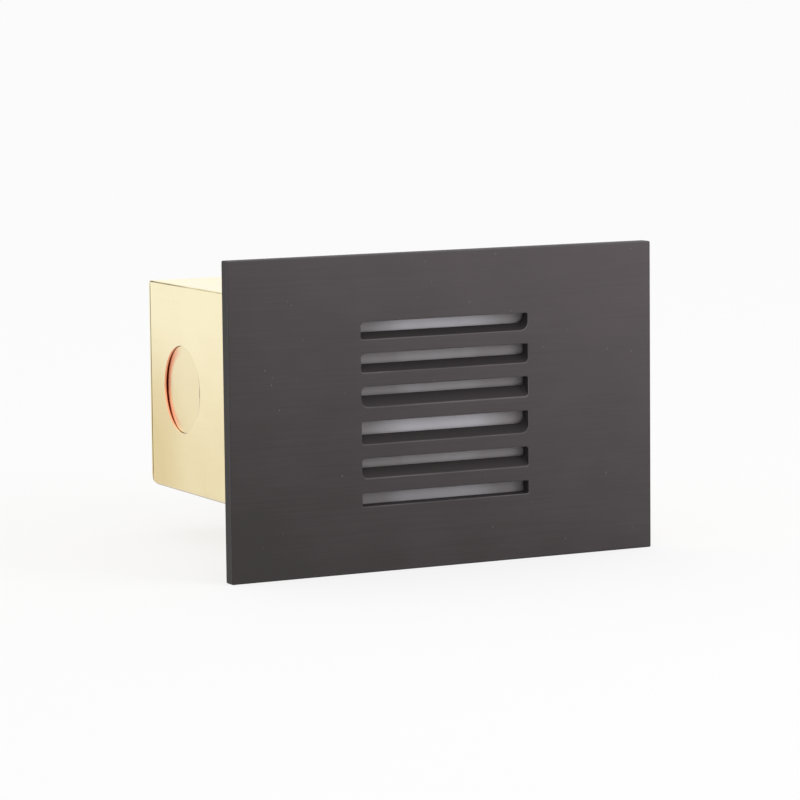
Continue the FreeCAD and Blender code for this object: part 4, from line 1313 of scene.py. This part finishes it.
@dataclass
class Face(Assembly):
    """Faceplate, lens, gasket and the frame that clamps them."""

    body = "face"
    solids = {
        "faceplate": Finishes.plate, "lens_gasket": Finishes.gasket, "lens_glass": Finishes.glass,
        "lens_frame": Finishes.zinc,
    }
    screw_x: float = 29.0
    screw_z: float = 20.0
    frame_back: float = 4.1
    screw: ScrewSize = ScrewSize(1.5, 5.0, 2.75, 1.8)

    def set_pieces(self, shop: Workshop) -> None:
        """Sets the frame's screws.

        Args:
            shop: The shared trees and hardware.
        """
        places = [
            ((side.value * self.screw_x, self.frame_back, up * self.screw_z), INWARD)
            for side in Side for up in (-1, 1)
        ]
        screw = shop.screw("frame_screw", self.screw)
        self.set_copies(shop, "frame_screws", screw, places, "lens_frame_screws")


@dataclass
class SpringClips(Assembly):
    """Leaf springs on the frame's flanges, and their rivets."""

    body = "face"
    solids = {"spring_clip_left": Finishes.spring, "spring_clip_right": Finishes.spring}
    flange_x: float = 34.8
    rivet_depth: float = 7.95
    pitch: float = 7.0
    sheet: float = 0.8
    strip: float = 0.4
    radius: float = 1.0
    head_radius: float = 1.9
    head_rim: float = 0.12
    head_height: float = 0.7

    def set_pieces(self, shop: Workshop) -> None:
        """Sets the springs' rivets.

        Args:
            shop: The shared trees and hardware.
        """
        low, high = -self.sheet, self.strip
        dome = arc_profile(self.head_radius, self.head_rim, self.head_height)
        profile = [
            *((radius, low - height) for radius, height in reversed(dome)),
            (self.head_radius, low), (self.radius, low), (self.radius, high), (self.head_radius, high),
            *((radius, high + height) for radius, height in dome),
        ]
        places = [
            ((side.value * self.flange_x, self.rivet_depth, up * self.pitch / 2), (side.value, 0.0, 0.0))
            for side in Side for up in (-1, 1)
        ]
        rivet = turned("clip_rivet", profile, segments=32)
        self.set_copies(shop, "spring_rivets", rivet, places, "clip_rivets")


class WallBox(Assembly):
    """Folded brass box."""

    body = "box"
    solids = {"back_box": Finishes.box}


@dataclass
class Blank(Assembly):
    """Knockout blank on one side."""

    side: Side = Side.LEFT

    def build(self, shop: Workshop) -> None:
        """Dresses the blank."""
        self.dress(f"knockout_{self.side.name.lower()}", Finishes.blanks[self.side])


@dataclass
class Carrier(Assembly):
    """Bracket, its rivets and the reflector."""

    body = "box"
    solids = {"lamp_bracket": Finishes.zinc, "reflector": Finishes.aluminium}
    rivet_z: float = 17.0
    foot_face: float = 84.0
    floor: float = 85.0
    back: float = 85.7
    radius: float = 1.6
    chamfer: float = 0.06
    head_radius: float = 3.04
    head_rim: float = 0.12
    head_height: float = 0.7

    def set_pieces(self, shop: Workshop) -> None:
        """Sets the bracket's rivets.

        Args:
            shop: The shared trees and hardware.
        """
        reach = self.back - self.foot_face
        flare = 0.5 * (self.back - self.floor)
        wide = self.radius + flare
        profile = [
            (0.0, -reach), (wide - self.chamfer, -reach), (wide, self.chamfer - reach),
            (self.radius, flare - reach), (self.radius, 0.0), (self.head_radius, 0.0),
            *arc_profile(self.head_radius, self.head_rim, self.head_height),
        ]
        places = [((0.0, self.foot_face, up * self.rivet_z), OUTWARD) for up in (-1, 1)]
        rivet = turned("foot_rivet", profile)
        self.set_copies(shop, "foot_rivets", rivet, places, "bracket_rivets", Finishes.contact)


@dataclass
class Socket(Assembly):
    """Ceramic socket with its contacts, screws, nuts and bush."""

    body = "box"
    solids = {
        "socket_body": Finishes.ceramic, "socket_contacts": Finishes.contact, "wire_bush": Finishes.bush,
    }
    spacing: float = 18.0
    seat: float = 38.2
    web_back: float = 45.0
    screw: ScrewSize = ScrewSize(1.25, 9.8, 2.3, 1.6)
    nut: NutSize = NutSize(5.0, 2.0, 1.3)

    def places(self, depth: float, heading: Point) -> Places:
        """The two fixing points at a depth."""
        return [((side.value * self.spacing / 2, depth, 0.0), heading) for side in Side]

    def set_pieces(self, shop: Workshop) -> None:
        """Sets the socket's screws and nuts.

        Args:
            shop: The shared trees and hardware.
        """
        screw = shop.screw("socket_screw", self.screw)
        self.set_copies(shop, "socket_fixing_screws", screw, self.places(self.seat, OUTWARD), "socket_screws")
        nut = shop.nut("socket_nut", self.nut)
        self.set_copies(shop, "socket_fixing_nuts", nut, self.places(self.web_back, INWARD), "socket_nuts")


@dataclass
class Lamp(Assembly):
    """Two-pin lamp: base, pins, board, chips and their solder pads.

    The chips stand on rings, each with its number of chips and its radius.
    """

    body = "lamp"
    solids = {"lamp_base": Finishes.base, "lamp_pins": Finishes.nickel, "lamp_board": Finishes.board}
    board_front: float = 26.4
    width: float = 2.8
    length: float = 3.5
    thickness: float = 0.7
    softness: float = 0.08
    side_walls: float = 0.7
    end_walls: float = 0.8
    well_depth: float = 0.15
    well_cutter: float = 0.5
    light_gap: float = 0.04
    light_below: float = 0.09
    light_height: float = 0.13
    light_bevel: float = 0.05
    pad: Point = (1.6, 0.5, 0.16)
    pad_reach: float = 0.2
    pad_rise: float = 0.06
    pad_bevel: float = 0.06
    rings: Tuple[Tuple[int, float], ...] = ((9, 11.2), (3, 4.6))

    def chip_frame(self) -> bpy.types.Mesh:
        """Makes the housing of one chip with its well.

        Returns:
            The housing.
        """
        high = self.thickness
        block = brick((self.width, self.length, high), (0, 0, high / 2), self.softness)
        body = finished_mesh("chip_body", block, False)
        size = (self.width - self.side_walls, self.length - self.end_walls, self.well_cutter)
        middle = (0, 0, high - self.well_depth + self.well_cutter / 2)
        well = finished_mesh("chip_well", brick(size, middle), False)
        return combined("chip_frame", body, well, "DIFFERENCE")

    def chip_light(self) -> bpy.types.Mesh:
        """Makes the phosphor that fills the well, a little crowned.

        Returns:
            The phosphor.
        """
        across = self.width - self.side_walls - self.light_gap
        along = self.length - self.end_walls - self.light_gap
        size, middle = (across, along, self.light_height), (0, 0, self.thickness - self.light_below)
        return finished_mesh("chip_light", brick(size, middle, self.light_bevel))

    def pads(self) -> bpy.types.Mesh:
        """Makes the solder at the two ends of one chip.

        Returns:
            The solder.
        """
        shape = bmesh.new()
        for end in (-1, 1):
            middle = (0, end * (self.length / 2 + self.pad_reach), self.pad_rise)
            mesh = finished_mesh("pad", brick(self.pad, middle, self.pad_bevel))
            shape.from_mesh(mesh)
            bpy.data.meshes.remove(mesh)
        return finished_mesh("pads", shape)

    def ring_of(self, shop: Workshop, title: str, mesh: bpy.types.Mesh, finish: Finish) -> bpy.types.Object:
        """Sets a part of a chip on every ring.

        Args:
            shop: The shared trees and hardware.
            title: Name of the result.
            mesh: The part on one chip.
            finish: Its finish.

        Returns:
            One piece with the part on each chip.
        """
        template = new_object(title + "_piece", mesh)
        parts = [
            shop.ring.bake(f"{title}_{number}", {
                "Piece": template, "Count": count, "Radius": radius * MM, "Depth": self.board_front * MM,
                "Finish": finish.material(),
            })
            for number, (count, radius) in enumerate(self.rings)
        ]
        whole = merged(title, [part.data for part in parts])
        for part in (*parts, template):
            bpy.data.objects.remove(part)
        return new_object(title, whole)

    def set_pieces(self, shop: Workshop) -> None:
        """Sets the chips and their solder.

        Args:
            shop: The shared trees and hardware.
        """
        for title, mesh, finish, nodes in (
            ("chip_housings", self.chip_frame(), Finishes.chip, ("led_chips",)),
            ("chip_phosphors", self.chip_light(), Finishes.phosphor, ()),
            ("chip_solder", self.pads(), Finishes.solder, ()),
        ):
            self.set_piece(self.ring_of(shop, title, mesh, finish), finish, *nodes)


@dataclass
class Terminals(Assembly):
    """Terminal block with its barrels, screws and fixing."""

    body = "box"
    solids = {"terminal_block": Finishes.block, "terminal_barrels": Finishes.contact}
    pitch: float = 8.4
    screw_top: float = -4.4
    screw_depths: Pair = (62.25, 70.75)
    centre: float = 66.5
    seat: float = -3.0
    leg: float = -12.0
    screw: ScrewSize = ScrewSize(1.2, 2.6, 1.7, 1.2)
    fixing: ScrewSize = ScrewSize(1.5, 12.4, 2.75, 1.8)
    nut: NutSize = NutSize(5.5, 2.4, 1.55)

    def set_pieces(self, shop: Workshop) -> None:
        """Sets the block's screws and nut.

        Args:
            shop: The shared trees and hardware.
        """
        tops = [
            ((side.value * self.pitch / 2, depth, self.screw_top), UPWARD)
            for side in Side for depth in self.screw_depths
        ]
        seat, leg = ((0.0, self.centre, self.seat), UPWARD), ((0.0, self.centre, self.leg), DOWNWARD)
        for title, copy, places, node in (
            ("clamping_screws", shop.screw("terminal_screw", self.screw), tops, "terminal_screws"),
            ("block_fixing_screw", shop.screw("fixing_screw", self.fixing), [seat], "block_screw"),
            ("block_fixing_nut", shop.nut("fixing_nut", self.nut), [leg], "block_nut"),
        ):
            self.set_copies(shop, title, copy, places, node)


@dataclass
class Lead(Assembly):
    """Insulated lead from one contact, through the bush, to one barrel."""

    body = "box"
    side: Side = Side.LEFT
    contact_x: float = 2.0
    contact_back: float = 42.0
    first_run: float = 5.3
    barrel_x: float = 4.2
    barrel_front: float = 59.0
    barrel_z: float = -6.5
    last_run: float = 5.0
    diameter: float = 1.6
    steps_round: int = 6
    steps_along: int = 16
    order: int = 3

    def line(self, name: str) -> bpy.types.Curve:
        """Draws the lead as one smooth round line.

        Args:
            name: Name of the curve.

        Returns:
            The curve.
        """
        contact, barrel = self.side.value * self.contact_x, self.side.value * self.barrel_x
        route = (
            (contact, self.contact_back, 0.0),
            (contact, self.contact_back + self.first_run, 0.0),
            (barrel, self.barrel_front - self.last_run, self.barrel_z),
            (barrel, self.barrel_front, self.barrel_z),
        )
        curve = bpy.data.curves.new(name, "CURVE")
        curve.dimensions, curve.use_fill_caps, curve.resolution_u = "3D", True, self.steps_along
        curve.bevel_depth, curve.bevel_resolution = self.diameter / 2 * MM, self.steps_round
        line = curve.splines.new("NURBS")
        line.points.add(len(route) - 1)
        for point, place in zip(line.points, route):
            point.co = (*(part * MM for part in place), 1.0)
        line.order_u, line.use_endpoint_u = self.order, True
        return curve

    def set_pieces(self, shop: Workshop) -> None:
        """Sets the lead.

        Args:
            shop: The shared trees and hardware.
        """
        word = self.side.name.lower()
        carrier = new_object(f"lead_{word}_carrier", self.line(f"lead_{word}_line"))
        piece = new_object(f"insulated_lead_{word}", baked(carrier, f"insulated_lead_{word}"))
        bpy.data.objects.remove(carrier)
        finish = Finishes.black if self.side is Side.LEFT else Finishes.red
        self.set_piece(piece, finish, f"lamp_lead_{word}")


# Studio

@dataclass
class Studio:
    """Pale floor, soft light and the camera that was matched to the photograph.

    The camera's place is in millimetres, and the lights' places are in metres.
    """

    azimuth: float = 26.977
    elevation: float = 6.557
    roll: float = -0.617
    distance: float = 896.0
    aside: float = -9.652
    above: float = 1.859
    lens: float = 167.14
    sensor: float = 36.0
    clip: Pair = (0.01, 100.0)
    floor_z: float = -38.1
    floor_half: float = 30.0
    floor_tone: float = 0.93
    shadow: float = 0.25
    ambient: float = 0.6
    sky_heading: Point = (0.1, 0.35, -1.0)
    sky_strength: float = 1.05
    sky_spread: float = 150.0
    panel_place: Point = (0.45, -0.62, 0.28)
    panel_aim: Point = (0.02, 0.0, 0.02)
    panel_size: float = 0.4
    panel_power: float = 1.6

    def camera(self) -> None:
        """Sets the camera at the photograph's viewing angle."""
        turn, dip, roll = (math.radians(angle) for angle in (self.azimuth, self.elevation, self.roll))
        ahead = Vector((math.sin(turn) * math.cos(dip), math.cos(turn) * math.cos(dip), -math.sin(dip)))
        level = Vector((math.cos(turn), -math.sin(turn), 0.0))
        upright = level.cross(ahead)
        right = math.cos(roll) * level + math.sin(roll) * upright
        up = math.cos(roll) * upright - math.sin(roll) * level
        data = bpy.data.cameras.new("camera")
        data.lens, data.sensor_width = self.lens, self.sensor
        data.clip_start, data.clip_end = self.clip
        camera = new_object("camera", data)
        camera.rotation_mode = "QUATERNION"
        camera.rotation_quaternion = Matrix([right, up, -ahead]).transposed().to_quaternion()
        camera.location = (-ahead * self.distance + right * self.aside + up * self.above) * MM
        bpy.context.scene.camera = camera

    def seen(self, tree: Tree) -> Link:
        """Finds the rays that show the background itself: straight, mirrored or through glass.

        Args:
            tree: The nodes of the world or of the floor.

        Returns:
            1 for such rays and 0 for others.
        """
        path = tree.node("ShaderNodeLightPath").socket.node
        camera, glossy, through = (
            Link(tree, path.outputs[f"Is {name} Ray"]) for name in ("Camera", "Glossy", "Transmission")
        )
        return camera.highest(glossy).highest(through)

    def world(self) -> None:
        """Makes the world white where it is seen, and an even pale light elsewhere."""
        world = bpy.data.worlds.new("studio")
        bpy.context.scene.world = world
        world.use_nodes = True
        tree = Tree(world.node_tree)
        background = world.node_tree.nodes["Background"]
        tree.feed(background.inputs["Color"], (*WHITE, 1.0))
        tree.feed(background.inputs["Strength"], self.seen(tree) * (1.0 - self.ambient) + self.ambient)

    def floor(self) -> None:
        """Lays a white floor that keeps the light's shadow."""
        shape = bmesh.new()
        bmesh.ops.create_grid(shape, x_segments=1, y_segments=1, size=self.floor_half)
        bmesh.ops.translate(shape, verts=shape.verts, vec=(0, 0, self.floor_z * MM))
        floor = new_object("floor", finished_mesh("floor", shape, False))
        material = bpy.data.materials.new("floor_white")
        material.use_nodes = True
        tree = Tree(material.node_tree)
        nodes = material.node_tree.nodes
        nodes.remove(nodes["Principled BSDF"])
        matt = tree.node("ShaderNodeBsdfDiffuse", {}, {"Color": (*(self.floor_tone,) * 3, 1.0)})
        glow = tree.node("ShaderNodeEmission", {}, {"Color": (*WHITE, 1.0), "Strength": 1.0})
        share = self.seen(tree) * (1.0 - self.shadow)
        mixed = tree.node("ShaderNodeMixShader", {}, {0: share, 1: matt, 2: glow})
        tree.feed(nodes["Material Output"].inputs["Surface"], mixed)
        floor.data.materials.append(material)

    def light(self, data: bpy.types.Light, place: Point, heading: Vector) -> None:
        """Sets a light where it stands, turned to where it shines.

        Args:
            data: The light.
            place: Where it stands.
            heading: The way in which it shines.
        """
        light = new_object(data.name, data)
        light.location = place
        light.rotation_mode = "QUATERNION"
        light.rotation_quaternion = heading.to_track_quat("-Z", "Y")

    def panel(self) -> None:
        """Adds a square soft light at the front right."""
        data = bpy.data.lights.new("front_right", "AREA")
        data.shape, data.size, data.energy = "SQUARE", self.panel_size, self.panel_power
        self.light(data, self.panel_place, Vector(self.panel_aim) - Vector(self.panel_place))

    def sky(self) -> None:
        """Adds an even, wide light from overhead."""
        data = bpy.data.lights.new("overhead", "SUN")
        data.energy, data.angle = self.sky_strength, math.radians(self.sky_spread)
        self.light(data, (0.0, 0.0, 0.0), Vector(self.sky_heading))

    def build(self) -> None:
        """Sets floor, world, lights and camera."""
        self.floor()
        self.world()
        self.sky()
        self.panel()
        self.camera()
        bpy.context.scene.view_settings.view_transform = "Standard"


def main() -> None:
    """Builds the studio and every sub-assembly, and reports them."""
    logging.basicConfig(level=logging.INFO, format="%(name)s %(message)s")
    Studio().build()
    shop = Workshop()
    assemblies: List[Assembly] = [
        Face(), SpringClips(), WallBox(), Blank(side=Side.LEFT), Blank(side=Side.RIGHT), Carrier(), Socket(),
        Lamp(), Terminals(), Lead(side=Side.LEFT), Lead(side=Side.RIGHT),
    ]
    for assembly in assemblies:
        assembly.build(shop)


if __name__ == "__main__":
    main()
